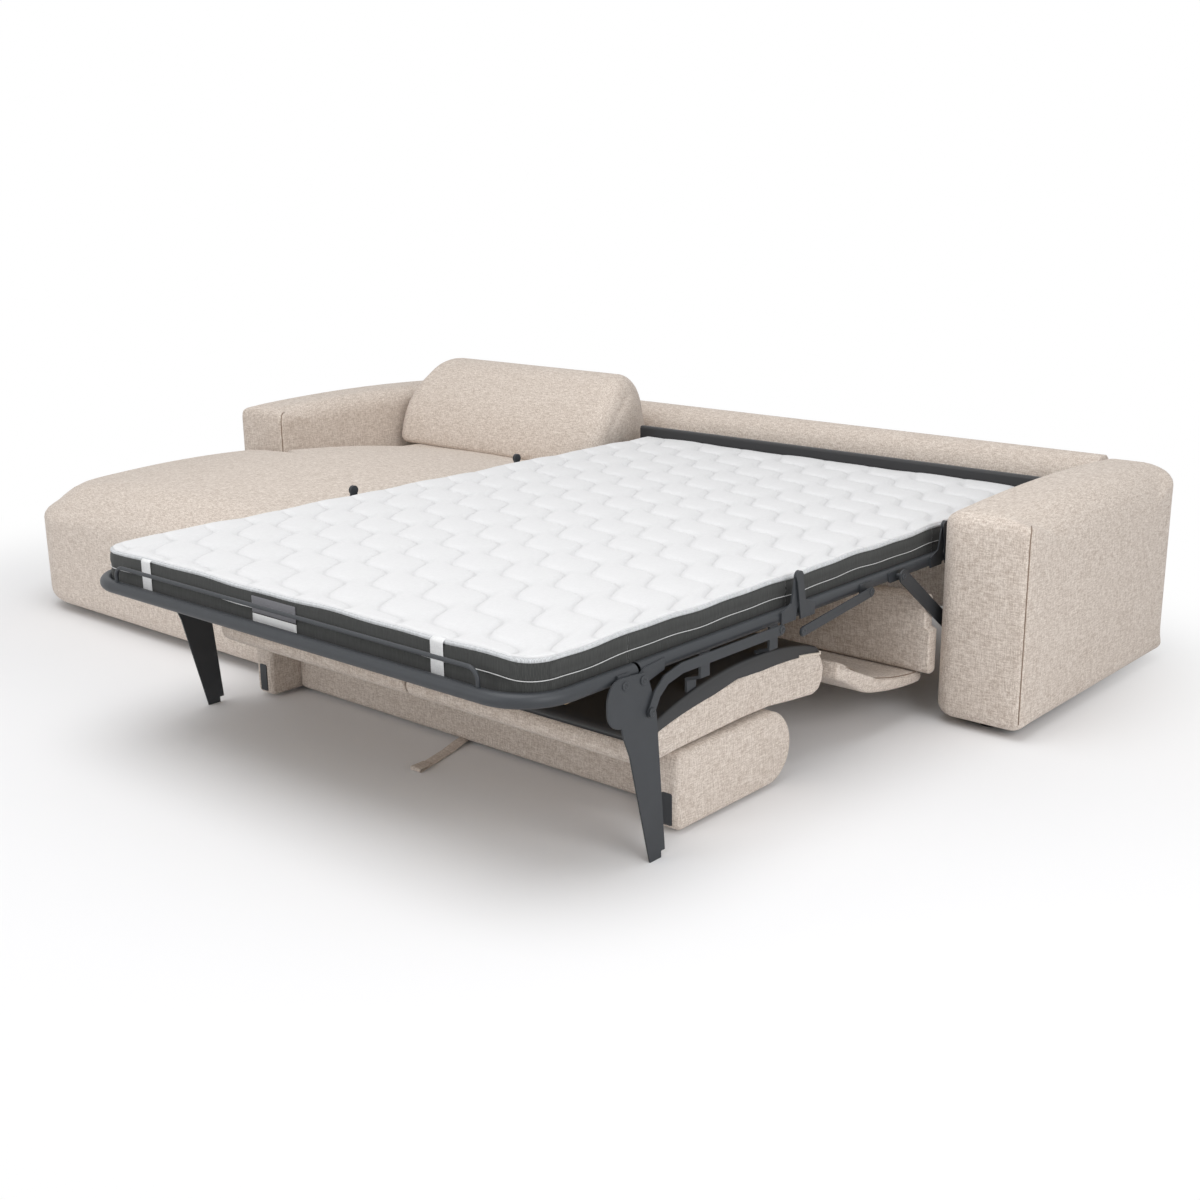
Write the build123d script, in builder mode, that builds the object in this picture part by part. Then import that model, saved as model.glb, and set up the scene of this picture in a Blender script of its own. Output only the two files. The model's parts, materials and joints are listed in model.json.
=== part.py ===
"""Corner sofa with a fold-out bed, modelled with the bed open.

Frame: X to the right, Y to the back, Z up, millimetres.  The origin is the middle of the
footprint, on the floor.  The bed rolls out between a right arm and a chaise on the left.
"""
import math
import os

from build123d import *

os.makedirs("parts", exist_ok=True)

# Mattress and its four folding sections
mattress_width = 1400.0
mattress_thickness = 92.0
bed_top = 482.0                 # top of the mattress above the floor
end_length = 260.0              # front section, carries the legs
foot_length = 525.0
mid_length = 635.0
head_length = 580.0
mattress_corner = 90.0          # plan radius of the two front corners
section_gap = 4.0               # between two mattress sections
edge_round = 12.0

# Sofa
arm_width = 250.0
side_gap = 60.0                 # from the mattress to the arm and to the chaise
chaise_width = 1265.0           # with its arm
arm_front = 1335.0              # all depths are taken from the front of the mattress
arm_rear = 2260.0
arm_front_height = 538.0
arm_crown = 564.0
arm_rear_height = 546.0
back_front = 2222.0
back_thickness = 118.0
back_height = 540.0
chaise_front = 500.0
chaise_edge_height = 415.0
chaise_crown = 448.0
glide_height = 20.0
glide_radius = 24.0
front_overhang = 45.0           # front rail ahead of the mattress
panel_front = 1325.0
panel_thickness = 37.0
panel_low = 160.0
panel_top = 334.0

# Steel bed frame
tube = 30.0
tube_wall = 1.5
rail_rise = 12.0                # centre of the side rails above the underside of the mattress
rail_bend = 110.0               # bend radius of the front rail
slat_thick = 10.0
slat_wide = 58.0
hoop_rod = 9.0
hoop_rise = 50.0                # above the front rail's centre
plate = 4.0                     # thickness of plates and flat bars
layer = 5.0                     # from one flat bar to the next, outwards
pin_radius = 6.0
pin_clearance = 0.1             # radial
fold_rise = 2.0                 # fold axes above the mattress
leg_pivot_drop = 16.0           # fold of the front section below the rails' centre

# Swing arms that carry the bed in and out
swing_mount = 1200.0            # on the middle section's side rails
swing_back = 278.0              # from there to the pivot on the base
swing_drop = 205.0

# Seat cushions, backrest and apron, all upside down under the open bed
seat_front = 300.0
seat_rear = 962.0
seat_side = 8.0                 # seat and backrest are narrower than the mattress by this, each side
seat_split = 6.0
pan_thick = 8.0
backrest_front = 410.0
backrest_rear = 815.0
backrest_low = 8.0
backrest_top = 178.0
backrest_pivot_y = 422.0
backrest_pivot_z = 160.0
cheek = 70.0                    # solid ends of the backrest
recess = 90.0                   # hollow between them
apron_front = 979.0
apron_rear = 1372.0
apron_thick = 44.0
apron_pivot_y = 974.0
apron_pivot_z = 254.0

# Derived places
bay_width = mattress_width + 2 * side_gap
total_width = arm_width + bay_width + chaise_width
bay_right = total_width / 2 - arm_width
bay_left = bay_right - bay_width
bed_x = (bay_left + bay_right) / 2
mattress_right = bed_x + mattress_width / 2
chaise_left = -total_width / 2
total_depth = front_overhang + back_front + back_thickness
y0 = front_overhang - total_depth / 2           # Y of the front of the mattress
end_fold = y0 + end_length
foot_fold = end_fold + foot_length
head_fold = foot_fold + mid_length
mattress_rear = head_fold + head_length
mattress_low = bed_top - mattress_thickness
tube_height = mattress_low + rail_rise          # centre of the side rails
hoop_height = tube_height + hoop_rise
fold_z = bed_top + fold_rise
end_fold_z = tube_height - leg_pivot_drop
tube_x = mattress_right + tube / 2
plate_x = mattress_right + tube                 # first layer of plates, on the outside of the rails
middle_plane = Plane.YZ.offset(bed_x)
back_rear = back_front + back_thickness


def side_plane(layers):
    """The upright plane on the right of the bed where the given layer of flat bars starts."""
    return Plane.YZ.offset(plate_x + layers * layer)


# Upholstered arms: a crowned side outline, rounded all over, over a timber frame
arm_wall = 45.0
arm_round = 32.0
arm_frame_top = arm_front_height - 90.0

with BuildPart() as right_arm_cover:
    with BuildSketch(Plane.YZ.offset(bay_right)):
        with BuildLine():
            Polyline((y0 + arm_rear, arm_rear_height), (y0 + arm_rear, glide_height),
                     (y0 + arm_front, glide_height), (y0 + arm_front, arm_front_height))
            ThreePointArc((y0 + arm_front, arm_front_height),
                          (y0 + (arm_front + arm_rear) / 2, arm_crown),
                          (y0 + arm_rear, arm_rear_height))
        make_face()
    extrude(amount=arm_width)
    fillet(right_arm_cover.edges(), arm_round)
    with Locations((bay_right + arm_width / 2, y0 + (arm_front + arm_rear) / 2, glide_height)):
        Box(arm_width - 2 * arm_wall, arm_rear - arm_front - 2 * arm_wall,
            arm_frame_top - glide_height, align=(Align.CENTER, Align.CENTER, Align.MIN),
            mode=Mode.SUBTRACT)

with BuildPart() as right_arm_frame:
    with Locations((bay_right + arm_width / 2, y0 + (arm_front + arm_rear) / 2, glide_height)):
        Box(arm_width - 2 * arm_wall, arm_rear - arm_front - 2 * arm_wall,
            arm_frame_top - glide_height, align=(Align.CENTER, Align.CENTER, Align.MIN))

# The left arm stands behind the chaise's front part
left_arm_centre = chaise_left + arm_width / 2

with BuildPart() as left_arm_cover:
    with BuildSketch(Plane.YZ.offset(chaise_left)):
        with BuildLine():
            Polyline((y0 + arm_rear, arm_rear_height), (y0 + arm_rear, glide_height),
                     (y0 + arm_front, glide_height), (y0 + arm_front, arm_front_height))
            ThreePointArc((y0 + arm_front, arm_front_height),
                          (y0 + (arm_front + arm_rear) / 2, arm_crown),
                          (y0 + arm_rear, arm_rear_height))
        make_face()
    extrude(amount=arm_width)
    fillet(left_arm_cover.edges(), arm_round)
    with Locations((left_arm_centre, y0 + (arm_front + arm_rear) / 2, glide_height)):
        Box(arm_width - 2 * arm_wall, arm_rear - arm_front - 2 * arm_wall,
            arm_frame_top - glide_height, align=(Align.CENTER, Align.CENTER, Align.MIN),
            mode=Mode.SUBTRACT)

with BuildPart() as left_arm_frame:
    with Locations((left_arm_centre, y0 + (arm_front + arm_rear) / 2, glide_height)):
        Box(arm_width - 2 * arm_wall, arm_rear - arm_front - 2 * arm_wall,
            arm_frame_top - glide_height, align=(Align.CENTER, Align.CENTER, Align.MIN))

# Low back between the arms
back_wall = 30.0
back_round = 90.0               # front top edge, clear of the head section as it swings up
back_rear_round = 26.0
back_frame_top = back_height - 90.0
back_left = chaise_left + arm_width
back_width = bay_right - back_left
back_centre = (bay_right + back_left) / 2

with BuildPart() as back_cover:
    with BuildSketch(Plane.YZ.offset(back_left)):
        with Locations((y0 + back_front, glide_height)):
            Rectangle(back_thickness, back_height - glide_height, align=(Align.MIN, Align.MIN))
        fillet(vertices().group_by(Axis.Y)[-1].sort_by(Axis.X)[0], back_round)
        fillet(vertices().group_by(Axis.Y)[-1].sort_by(Axis.X)[-1], back_rear_round)
    extrude(amount=back_width)
    with Locations((back_centre, y0 + back_front + back_wall, glide_height)):
        Box(back_width - 2 * back_wall, back_thickness - 2 * back_wall,
            back_frame_top - glide_height, align=(Align.CENTER, Align.MIN, Align.MIN),
            mode=Mode.SUBTRACT)

with BuildPart() as back_frame:
    with Locations((back_centre, y0 + back_front + back_wall, glide_height)):
        Box(back_width - 2 * back_wall, back_thickness - 2 * back_wall,
            back_frame_top - glide_height, align=(Align.CENTER, Align.MIN, Align.MIN))

# Chaise: a full-width front part and a narrower part beside the left arm
chaise_corner = 200.0
chaise_inner_corner = 70.0
chaise_round = 60.0
chaise_foot_round = 30.0
chaise_wall = 90.0
chaise_frame_top = 300.0

with BuildPart() as chaise_cover:
    with BuildSketch(Plane.XY.offset(glide_height)):
        with BuildLine() as plan:
            outline = Polyline((bay_left, y0 + back_front), (bay_left, y0 + chaise_front),
                               (chaise_left, y0 + chaise_front), (chaise_left, y0 + arm_front),
                               (back_left, y0 + arm_front), (back_left, y0 + back_front), close=True)
        make_face()
        front = vertices().group_by(Axis.Y)[0]
        fillet(front.sort_by(Axis.X)[0], chaise_corner)
        fillet(vertices().group_by(Axis.Y)[0].sort_by(Axis.X)[-1], chaise_inner_corner)
    extrude(amount=chaise_crown - glide_height)
    with BuildSketch(Plane.XZ.offset(-y0 - chaise_front)):
        with BuildLine():
            Polyline((bay_left, chaise_edge_height), (bay_left, glide_height),
                     (chaise_left, glide_height), (chaise_left, chaise_edge_height))
            ThreePointArc((chaise_left, chaise_edge_height),
                          ((chaise_left + bay_left) / 2, chaise_crown),
                          (bay_left, chaise_edge_height))
        make_face()
        fillet(vertices().group_by(Axis.Y)[-1], chaise_round)
        fillet(vertices().group_by(Axis.Y)[0], chaise_foot_round)
    extrude(amount=-(back_front - chaise_front), mode=Mode.INTERSECT)
    with BuildSketch(Plane.YZ.offset(chaise_left)):
        with Locations((y0 + chaise_front, glide_height)):
            Rectangle(back_front - chaise_front, chaise_crown - glide_height,
                      align=(Align.MIN, Align.MIN))
        fillet(vertices().group_by(Axis.X)[0].sort_by(Axis.Y)[-1], chaise_round)
        fillet(vertices().group_by(Axis.X)[0].sort_by(Axis.Y)[0], chaise_foot_round)
    extrude(amount=chaise_width, mode=Mode.INTERSECT)
    with Locations(((chaise_left + arm_width + bay_left) / 2, y0 + chaise_front + chaise_wall,
                    glide_height)):
        Box(bay_left - back_left - 2 * chaise_wall, back_front - chaise_front - 2 * chaise_wall,
            chaise_frame_top - glide_height, align=(Align.CENTER, Align.MIN, Align.MIN),
            mode=Mode.SUBTRACT)

with BuildPart() as chaise_frame:
    with Locations(((chaise_left + arm_width + bay_left) / 2, y0 + chaise_front + chaise_wall,
                    glide_height)):
        Box(bay_left - back_left - 2 * chaise_wall, back_front - chaise_front - 2 * chaise_wall,
            chaise_frame_top - glide_height, align=(Align.CENTER, Align.MIN, Align.MIN))

# Loose back cushion on the chaise: leaning front, round top, drawn-in ends
cushion_front = 1840.0
cushion_top = 662.0
cushion_lean = 110.0
cushion_end_round = 55.0
cushion_low = chaise_crown + 0.3
cushion_gap = 0.3               # to the back behind it

with BuildPart() as chaise_back_cushion:
    with BuildSketch(Plane.YZ.offset(back_left + 6.0)):
        with BuildLine():
            bottom = Line((y0 + back_front - cushion_gap, cushion_low), (y0 + cushion_front, cushion_low))
            face_line = ThreePointArc(bottom @ 1,
                                      (y0 + cushion_front + 45.0, (cushion_low + cushion_top) / 2),
                                      (y0 + cushion_front + cushion_lean, cushion_top - 30.0))
            crown = ThreePointArc(face_line @ 1,
                                  (y0 + cushion_front + cushion_lean + 130.0, cushion_top),
                                  (y0 + back_front - 60.0, cushion_top - 70.0))
            Polyline(crown @ 1, (y0 + back_front - cushion_gap, (cushion_low + back_height) / 2), bottom @ 0)
        make_face()
    extrude(amount=bay_left - back_left - 14.0)
    with BuildSketch(Plane.XZ.offset(-y0 - cushion_front)):
        with BuildLine():
            foot_line = Line((back_left + 6.0, cushion_low), (bay_left - 8.0, cushion_low))
            right_end = ThreePointArc(foot_line @ 1, (bay_left - 2.0, (cushion_low + cushion_top) / 2),
                                      (bay_left - 8.0 - cushion_end_round, cushion_top))
            left_end = ThreePointArc(foot_line @ 0, (back_left + 2.0, (cushion_low + cushion_top) / 2),
                                     (back_left + 6.0 + cushion_end_round, cushion_top))
            Line(left_end @ 1, right_end @ 1)
        make_face()
    extrude(amount=-(back_front - cushion_front), mode=Mode.INTERSECT)

# Fixed front panel of the bed bay, notched for the swing arms, and the plates of their pivots
notch_low = 245.0
notch_wide = 14.0

with BuildPart() as bay_front_panel:
    with Locations((bed_x, y0 + panel_front, panel_low)):
        Box(bay_width, panel_thickness, panel_top - panel_low,
            align=(Align.CENTER, Align.MIN, Align.MIN))
    fillet(bay_front_panel.edges().filter_by(Axis.X), 14.0)
    with Locations((bed_x - bay_width / 2, y0 + panel_front, notch_low),
                   (bed_x + bay_width / 2, y0 + panel_front, notch_low)):
        Box(2 * notch_wide, 2 * panel_thickness + 1.0, 2 * (panel_top - panel_low),
            align=(Align.CENTER, Align.CENTER, Align.MIN), mode=Mode.SUBTRACT)

swing_pin = (y0 + swing_mount, tube_height)
swing_pivot = (swing_pin[0] + swing_back, swing_pin[1] - swing_drop)
rivet_head = 0.6
swing_layer = 4
swing_wide = 34.0
side_plate_long = 300.0
side_plate_high = 90.0
side_plate_shift = 90.0

with BuildPart() as bay_side_plates:
    with BuildSketch(Plane.YZ.offset(bay_right - plate)):
        with Locations((swing_pivot[0] + side_plate_shift, swing_pivot[1])):
            RectangleRounded(side_plate_long, side_plate_high, 20.0)
    extrude(amount=plate)
    with BuildSketch(Plane.YZ.offset(bay_right - plate)):
        with Locations(swing_pivot):
            Circle(pin_radius)
    extrude(amount=-(side_gap - tube - swing_layer * layer - plate + rivet_head))
    mirror(about=middle_plane)

# Swing arms
with BuildPart() as swing_arms:
    with BuildSketch(side_plane(swing_layer)):
        with Locations(swing_pin, swing_pivot):
            Circle(swing_wide / 2)
        make_hull()
        with Locations(swing_pin, swing_pivot):
            Circle(pin_radius + pin_clearance, mode=Mode.SUBTRACT)
    extrude(amount=plate)
    mirror(about=middle_plane)


def section_slats(first, last, count):
    """Slat centre lines spread evenly over one section."""
    step = (last - first) / count
    return [(bed_x, first + step * (i + 0.5), mattress_low) for i in range(count)]


slat_length = mattress_width + 10.0
slat_clear = 34.0

# Middle section
with BuildPart() as mid_side_rails:
    with BuildSketch(Plane.XZ.offset(-foot_fold - section_gap)):
        with Locations((tube_x, tube_height)):
            Circle(tube / 2)
            Circle(tube / 2 - tube_wall, mode=Mode.SUBTRACT)
    extrude(amount=-(mid_length - 2 * section_gap))
    mirror(about=middle_plane)

with BuildPart() as mid_slats:
    with Locations(*section_slats(foot_fold + slat_clear, head_fold - slat_clear, 6)):
        Box(slat_length, slat_wide, slat_thick, align=(Align.CENTER, Align.CENTER, Align.MAX))

with BuildPart() as mid_mattress:
    with Locations((bed_x, foot_fold + section_gap / 2, mattress_low)):
        Box(mattress_width, mid_length - section_gap, mattress_thickness,
            align=(Align.CENTER, Align.MIN, Align.MIN))
    fillet(mid_mattress.edges().filter_by(Axis.Y), edge_round)

# Plates of the middle section: fold ears at its front, pivots of the swing arms and link bars
ear_wide = 36.0
link_layer = 3
link_pin_back = 280.0           # behind the foot fold
link_pin_drop = 10.0
link_pin = (foot_fold + link_pin_back, tube_height - link_pin_drop)
spacer = 18.0
ear_half = 11.0                 # upright ears that carry the folds above the mattress
ear_neck = 24.0
ear_root = 60.0
ear_shoulder = tube_height + tube - 4.0

with BuildPart() as mid_hinge_plates:
    with BuildSketch(side_plane(1)):
        with BuildLine():
            Polyline((foot_fold - ear_half, fold_z), (foot_fold + ear_half, fold_z),
                     (foot_fold + ear_neck, ear_shoulder), (foot_fold + ear_root, tube_height + 12.0),
                     (foot_fold + ear_root, tube_height - 14.0), (foot_fold + 6.0, tube_height - 14.0),
                     close=True)
        make_face()
        with Locations((foot_fold, fold_z)):
            Circle(ear_half + 2.0)
    extrude(amount=plate)
    with BuildSketch(side_plane(0)):
        with Locations((foot_fold + 40.0, tube_height)):
            Rectangle(36.0, spacer)
    extrude(amount=layer)
    with BuildSketch(side_plane(0)):
        with Locations((foot_fold, fold_z)):
            Circle(pin_radius)
    extrude(amount=layer)
    mirror(about=middle_plane)

with BuildPart() as mid_pivot_pins:
    with BuildSketch(side_plane(0)):
        with Locations(swing_pin):
            RectangleRounded(70.0, 26.0, 8.0)
    extrude(amount=plate)
    with BuildSketch(side_plane(0).offset(plate)):
        with Locations(swing_pin):
            Circle(pin_radius)
    extrude(amount=swing_layer * layer + rivet_head)
    with BuildSketch(side_plane(0)):
        with Locations((link_pin[0], tube_height - 4.0)):
            RectangleRounded(52.0, 30.0, 8.0)
    extrude(amount=plate)
    with BuildSketch(side_plane(0).offset(plate)):
        with Locations(link_pin):
            Circle(pin_radius)
    extrude(amount=link_layer * layer)
    mirror(about=middle_plane)

# Head section
with BuildPart() as head_side_rails:
    with BuildSketch(Plane.XZ.offset(-head_fold - section_gap)):
        with Locations((tube_x, tube_height)):
            Circle(tube / 2)
            Circle(tube / 2 - tube_wall, mode=Mode.SUBTRACT)
    extrude(amount=-(head_length - 2 * section_gap))
    mirror(about=middle_plane)

with BuildPart() as head_slats:
    with Locations(*section_slats(head_fold + slat_clear, mattress_rear - slat_clear, 5)):
        Box(slat_length, slat_wide, slat_thick, align=(Align.CENTER, Align.CENTER, Align.MAX))

with BuildPart() as head_mattress:
    with Locations((bed_x, head_fold + section_gap / 2, mattress_low)):
        Box(mattress_width, head_length - section_gap / 2, mattress_thickness,
            align=(Align.CENTER, Align.MIN, Align.MIN))
    fillet(head_mattress.edges().filter_by(Axis.Y), edge_round)

head_rail_thick = 26.0
head_rail_top = bed_top + 30.0
head_rail_low = tube_height - tube / 2

with BuildPart() as head_rail:
    with Locations((bed_x, mattress_rear, head_rail_low)):
        Box(mattress_width + 2 * tube, head_rail_thick, head_rail_top - head_rail_low,
            align=(Align.CENTER, Align.MIN, Align.MIN))
    fillet(head_rail.edges().filter_by(Axis.X), 8.0)
    with BuildSketch(Plane.XZ.offset(-mattress_rear)):
        with Locations((tube_x, tube_height), (2 * bed_x - tube_x, tube_height)):
            Circle(tube / 2)
    extrude(amount=section_gap)

with BuildPart() as head_hinge_plates:
    with BuildSketch(side_plane(1)):
        with BuildLine():
            Polyline((head_fold - ear_half, fold_z), (head_fold + ear_half, fold_z),
                     (head_fold + ear_neck, ear_shoulder), (head_fold + ear_root, tube_height + 12.0),
                     (head_fold + ear_root, tube_height - 14.0), (head_fold + 6.0, tube_height - 14.0),
                     close=True)
        make_face()
        with Locations((head_fold, fold_z)):
            Circle(ear_half + 2.0)
            Circle(pin_radius + pin_clearance, mode=Mode.SUBTRACT)
    extrude(amount=plate)
    with BuildSketch(side_plane(0)):
        with Locations((head_fold + 40.0, tube_height)):
            Rectangle(36.0, spacer)
    extrude(amount=layer)
    mirror(about=middle_plane)

with BuildPart() as mid_rear_ears:
    with BuildSketch(side_plane(0)):
        with BuildLine():
            Polyline((head_fold + ear_half, fold_z), (head_fold - ear_half, fold_z),
                     (head_fold - ear_neck, ear_shoulder), (head_fold - ear_root, tube_height + 12.0),
                     (head_fold - ear_root, tube_height - 14.0), (head_fold - 6.0, tube_height - 14.0),
                     close=True)
        make_face()
        with Locations((head_fold, fold_z)):
            Circle(ear_half + 2.0)
    extrude(amount=plate)
    with BuildSketch(side_plane(0).offset(plate)):
        with Locations((head_fold, fold_z)):
            Circle(pin_radius)
    extrude(amount=layer + rivet_head)
    mirror(about=middle_plane)

# Foot section
with BuildPart() as foot_side_rails:
    with BuildSketch(Plane.XZ.offset(-end_fold - section_gap)):
        with Locations((tube_x, tube_height)):
            Circle(tube / 2)
            Circle(tube / 2 - tube_wall, mode=Mode.SUBTRACT)
    extrude(amount=-(foot_length - 2 * section_gap))
    mirror(about=middle_plane)

with BuildPart() as foot_slats:
    with Locations(*section_slats(end_fold + slat_clear, foot_fold - slat_clear, 5)):
        Box(slat_length, slat_wide, slat_thick, align=(Align.CENTER, Align.CENTER, Align.MAX))

with BuildPart() as foot_mattress:
    with Locations((bed_x, end_fold + section_gap / 2, mattress_low)):
        Box(mattress_width, foot_length - section_gap, mattress_thickness,
            align=(Align.CENTER, Align.MIN, Align.MIN))
    fillet(foot_mattress.edges().filter_by(Axis.Y), edge_round)

with BuildPart() as foot_hinge_plates:
    with BuildSketch(side_plane(0)):
        with BuildLine():
            Polyline((foot_fold + ear_half, fold_z), (foot_fold - ear_half, fold_z),
                     (foot_fold - ear_neck, ear_shoulder), (foot_fold - ear_root, tube_height + 12.0),
                     (foot_fold - ear_root, tube_height - 14.0), (foot_fold - 6.0, tube_height - 14.0),
                     close=True)
        make_face()
        with Locations((foot_fold, fold_z)):
            Circle(ear_half + 2.0)
            Circle(pin_radius + pin_clearance, mode=Mode.SUBTRACT)
    extrude(amount=plate)
    mirror(about=middle_plane)

with BuildPart() as foot_leg_pivots:
    with BuildSketch(side_plane(0)):
        with BuildLine():
            Polyline((end_fold - 10.0, end_fold_z + 8.0), (end_fold + 4.0, end_fold_z - 12.0),
                     (end_fold + 70.0, tube_height - 12.0), (end_fold + 70.0, tube_height + 12.0),
                     (end_fold + 10.0, tube_height + 6.0), close=True)
        make_face()
        with Locations((end_fold, end_fold_z)):
            Circle(14.0)
    extrude(amount=plate)
    with BuildSketch(side_plane(0).offset(plate)):
        with Locations((end_fold, end_fold_z)):
            Circle(pin_radius)
    extrude(amount=layer + rivet_head)
    mirror(about=middle_plane)

# Front section: bent rail, hoop, leg plates with legs
with BuildPart() as front_rail:
    with BuildLine():
        FilletPolyline((tube_x, end_fold - section_gap, tube_height),
                       (tube_x, y0 - front_overhang + tube / 2, tube_height),
                       (2 * bed_x - tube_x, y0 - front_overhang + tube / 2, tube_height),
                       (2 * bed_x - tube_x, end_fold - section_gap, tube_height), radius=rail_bend)
    with BuildSketch(Plane((tube_x, end_fold - section_gap, tube_height), x_dir=(1, 0, 0),
                           z_dir=(0, -1, 0))):
        Circle(tube / 2)
        Circle(tube / 2 - tube_wall, mode=Mode.SUBTRACT)
    sweep()

hoop_half = mattress_width / 2 - 110.0
hoop_bend = 25.0
hoop_y = y0 - front_overhang + tube / 2

with BuildPart() as mattress_hoop:
    with BuildLine():
        FilletPolyline((bed_x - hoop_half, hoop_y, tube_height + tube / 2),
                       (bed_x - hoop_half, hoop_y, hoop_height),
                       (bed_x + hoop_half, hoop_y, hoop_height),
                       (bed_x + hoop_half, hoop_y, tube_height + tube / 2), radius=hoop_bend)
    with BuildSketch(Plane((bed_x - hoop_half, hoop_y, tube_height + tube / 2))):
        Circle(hoop_rod / 2)
    sweep()

with BuildPart() as end_slats:
    with Locations(*section_slats(y0 + rail_bend - front_overhang, end_fold - slat_clear, 2)):
        Box(slat_length, slat_wide, slat_thick, align=(Align.CENTER, Align.CENTER, Align.MAX))

with BuildPart() as end_mattress:
    with BuildSketch(Plane.XY.offset(mattress_low)):
        with Locations((bed_x, y0)):
            Rectangle(mattress_width, end_length - section_gap / 2, align=(Align.CENTER, Align.MIN))
        fillet(vertices().group_by(Axis.Y)[0], mattress_corner)
    extrude(amount=mattress_thickness)
    outer = end_mattress.edges().group_by(Axis.Z)
    fillet([e for e in outer[0] + outer[-1] if e.center().Y < end_fold - section_gap], edge_round)

# Two elastic straps that hold the mattress back against the front rail
strap_places = (-507.0, 454.0)      # from the middle of the bed
elastic_wide = 36.0
elastic_thick = 2.0

with BuildPart() as mattress_straps:
    for place in strap_places:
        with BuildSketch(Plane.YZ.offset(bed_x + place - elastic_wide / 2)):
            with BuildLine():
                Polyline((y0, bed_top - 14.0), (y0 - elastic_thick, bed_top - 14.0),
                         (y0 - elastic_thick, tube_height + 24.0),
                         (hoop_y + 5.0, tube_height + tube / 2 + elastic_thick),
                         (hoop_y + 5.0, tube_height + tube / 2), (y0, tube_height + 22.0), close=True)
            make_face()
        extrude(amount=elastic_wide)

leg_layer = 1
leg_foot_back = 19.0            # foot behind the fold of the front section
leg_foot_y = end_fold + leg_foot_back
leg_lobe = 40.0                 # round head of the leg plate
leg_lobe_ahead = 64.0
leg_lobe_drop = 20.0
leg_throat = (58.0, 102.0)      # front edge ahead of and below the fold, where the head runs into the shank
leg_shank = (40.0, 144.0)
leg_knee = 16.0
leg_notch = (12.0, 14.0)
leg_spacer_ahead = 53.0
leg_spacer_long = 34.0
leg_foot_wide = 46.0
low_pin_back = 18.0             # control bar's pin behind and below the fold of the front section
low_pin_drop = 68.0
low_pin = (end_fold + low_pin_back, end_fold_z - low_pin_drop)

with BuildPart() as legs:
    with BuildSketch(side_plane(leg_layer)):
        head_centre = (end_fold - leg_lobe_ahead, end_fold_z - leg_lobe_drop)
        with Locations(head_centre, (head_centre[0], head_centre[1] - leg_lobe_drop)):
            Circle(leg_lobe)
        with Locations((end_fold, end_fold_z)):
            Circle(ear_half + 4.0)
        make_hull()
        with BuildLine():
            heel = leg_foot_y + leg_foot_wide
            Polyline(head_centre, (head_centre[0], end_fold_z - 78.0),
                     (end_fold - leg_throat[0], end_fold_z - leg_throat[1]),
                     (end_fold - leg_shank[0], end_fold_z - leg_shank[1]), (leg_foot_y, 0.0),
                     (heel - leg_notch[0], 0.0), (heel - leg_notch[0], leg_notch[1]), (heel, leg_notch[1]),
                     (low_pin[0] + 22.0, low_pin[1] - leg_knee), (low_pin[0] + 16.0, low_pin[1] + leg_knee),
                     (end_fold + ear_half + 4.0, end_fold_z), close=True)
        make_face()
        with Locations((end_fold, end_fold_z)):
            Circle(pin_radius + pin_clearance, mode=Mode.SUBTRACT)
    extrude(amount=plate)
    with BuildSketch(side_plane(0)):
        with Locations((end_fold - leg_spacer_ahead, tube_height)):
            Rectangle(leg_spacer_long, spacer)
    extrude(amount=layer)
    with BuildSketch(side_plane(leg_layer).offset(plate)):
        with Locations(low_pin):
            Circle(pin_radius)
    extrude(amount=layer + 1.5)
    mirror(about=middle_plane)

# Control bars from the legs to the fold, and link bars behind the fold
bar_wide = 22.0
bar_layer = 2
bar_bends = ((18.0, 32.0), (46.0, 54.0), (96.0, 65.0))     # behind and above the low pin
bar_end_gap = 71.0              # ahead of the foot fold
bar_end_drop = 20.0
bar_rear = (foot_fold - bar_end_gap, tube_height - bar_end_drop)
bar_path = (low_pin, *((low_pin[0] + back, low_pin[1] + rise) for back, rise in bar_bends), bar_rear)

with BuildPart() as control_bars:
    for start, stop in zip(bar_path, bar_path[1:]):
        with BuildSketch(side_plane(bar_layer)):
            with Locations(start, stop):
                Circle(bar_wide / 2)
            make_hull()
        extrude(amount=plate)
    with BuildSketch(side_plane(bar_layer)):
        with Locations(low_pin):
            Circle(pin_radius + pin_clearance)
    extrude(amount=plate, mode=Mode.SUBTRACT)
    with BuildSketch(side_plane(bar_layer).offset(plate)):
        with Locations(bar_rear):
            Circle(pin_radius)
    extrude(amount=rivet_head)
    mirror(about=middle_plane)

link_end_back = 3.0             # behind the foot fold
link_end_drop = 40.0
link_front = (foot_fold + link_end_back, tube_height - link_end_drop)

with BuildPart() as link_bars:
    with BuildSketch(side_plane(link_layer)):
        with Locations(link_front, link_pin):
            Circle(bar_wide / 2)
        make_hull()
        with Locations(link_pin):
            Circle(pin_radius + pin_clearance, mode=Mode.SUBTRACT)
    extrude(amount=plate)
    with BuildSketch(side_plane(link_layer).offset(plate)):
        with Locations(link_front):
            Circle(pin_radius)
    extrude(amount=rivet_head)
    mirror(about=middle_plane)

# Seat: a curved pan hung on brackets, and two cushions under it
seat_half = mattress_width / 2 - seat_side
pan_front = (y0 + seat_front + 8.0, 226.0)
pan_mid = (y0 + 640.0, 284.0)
pan_rear = (y0 + seat_rear - 14.0, 262.0)


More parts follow.
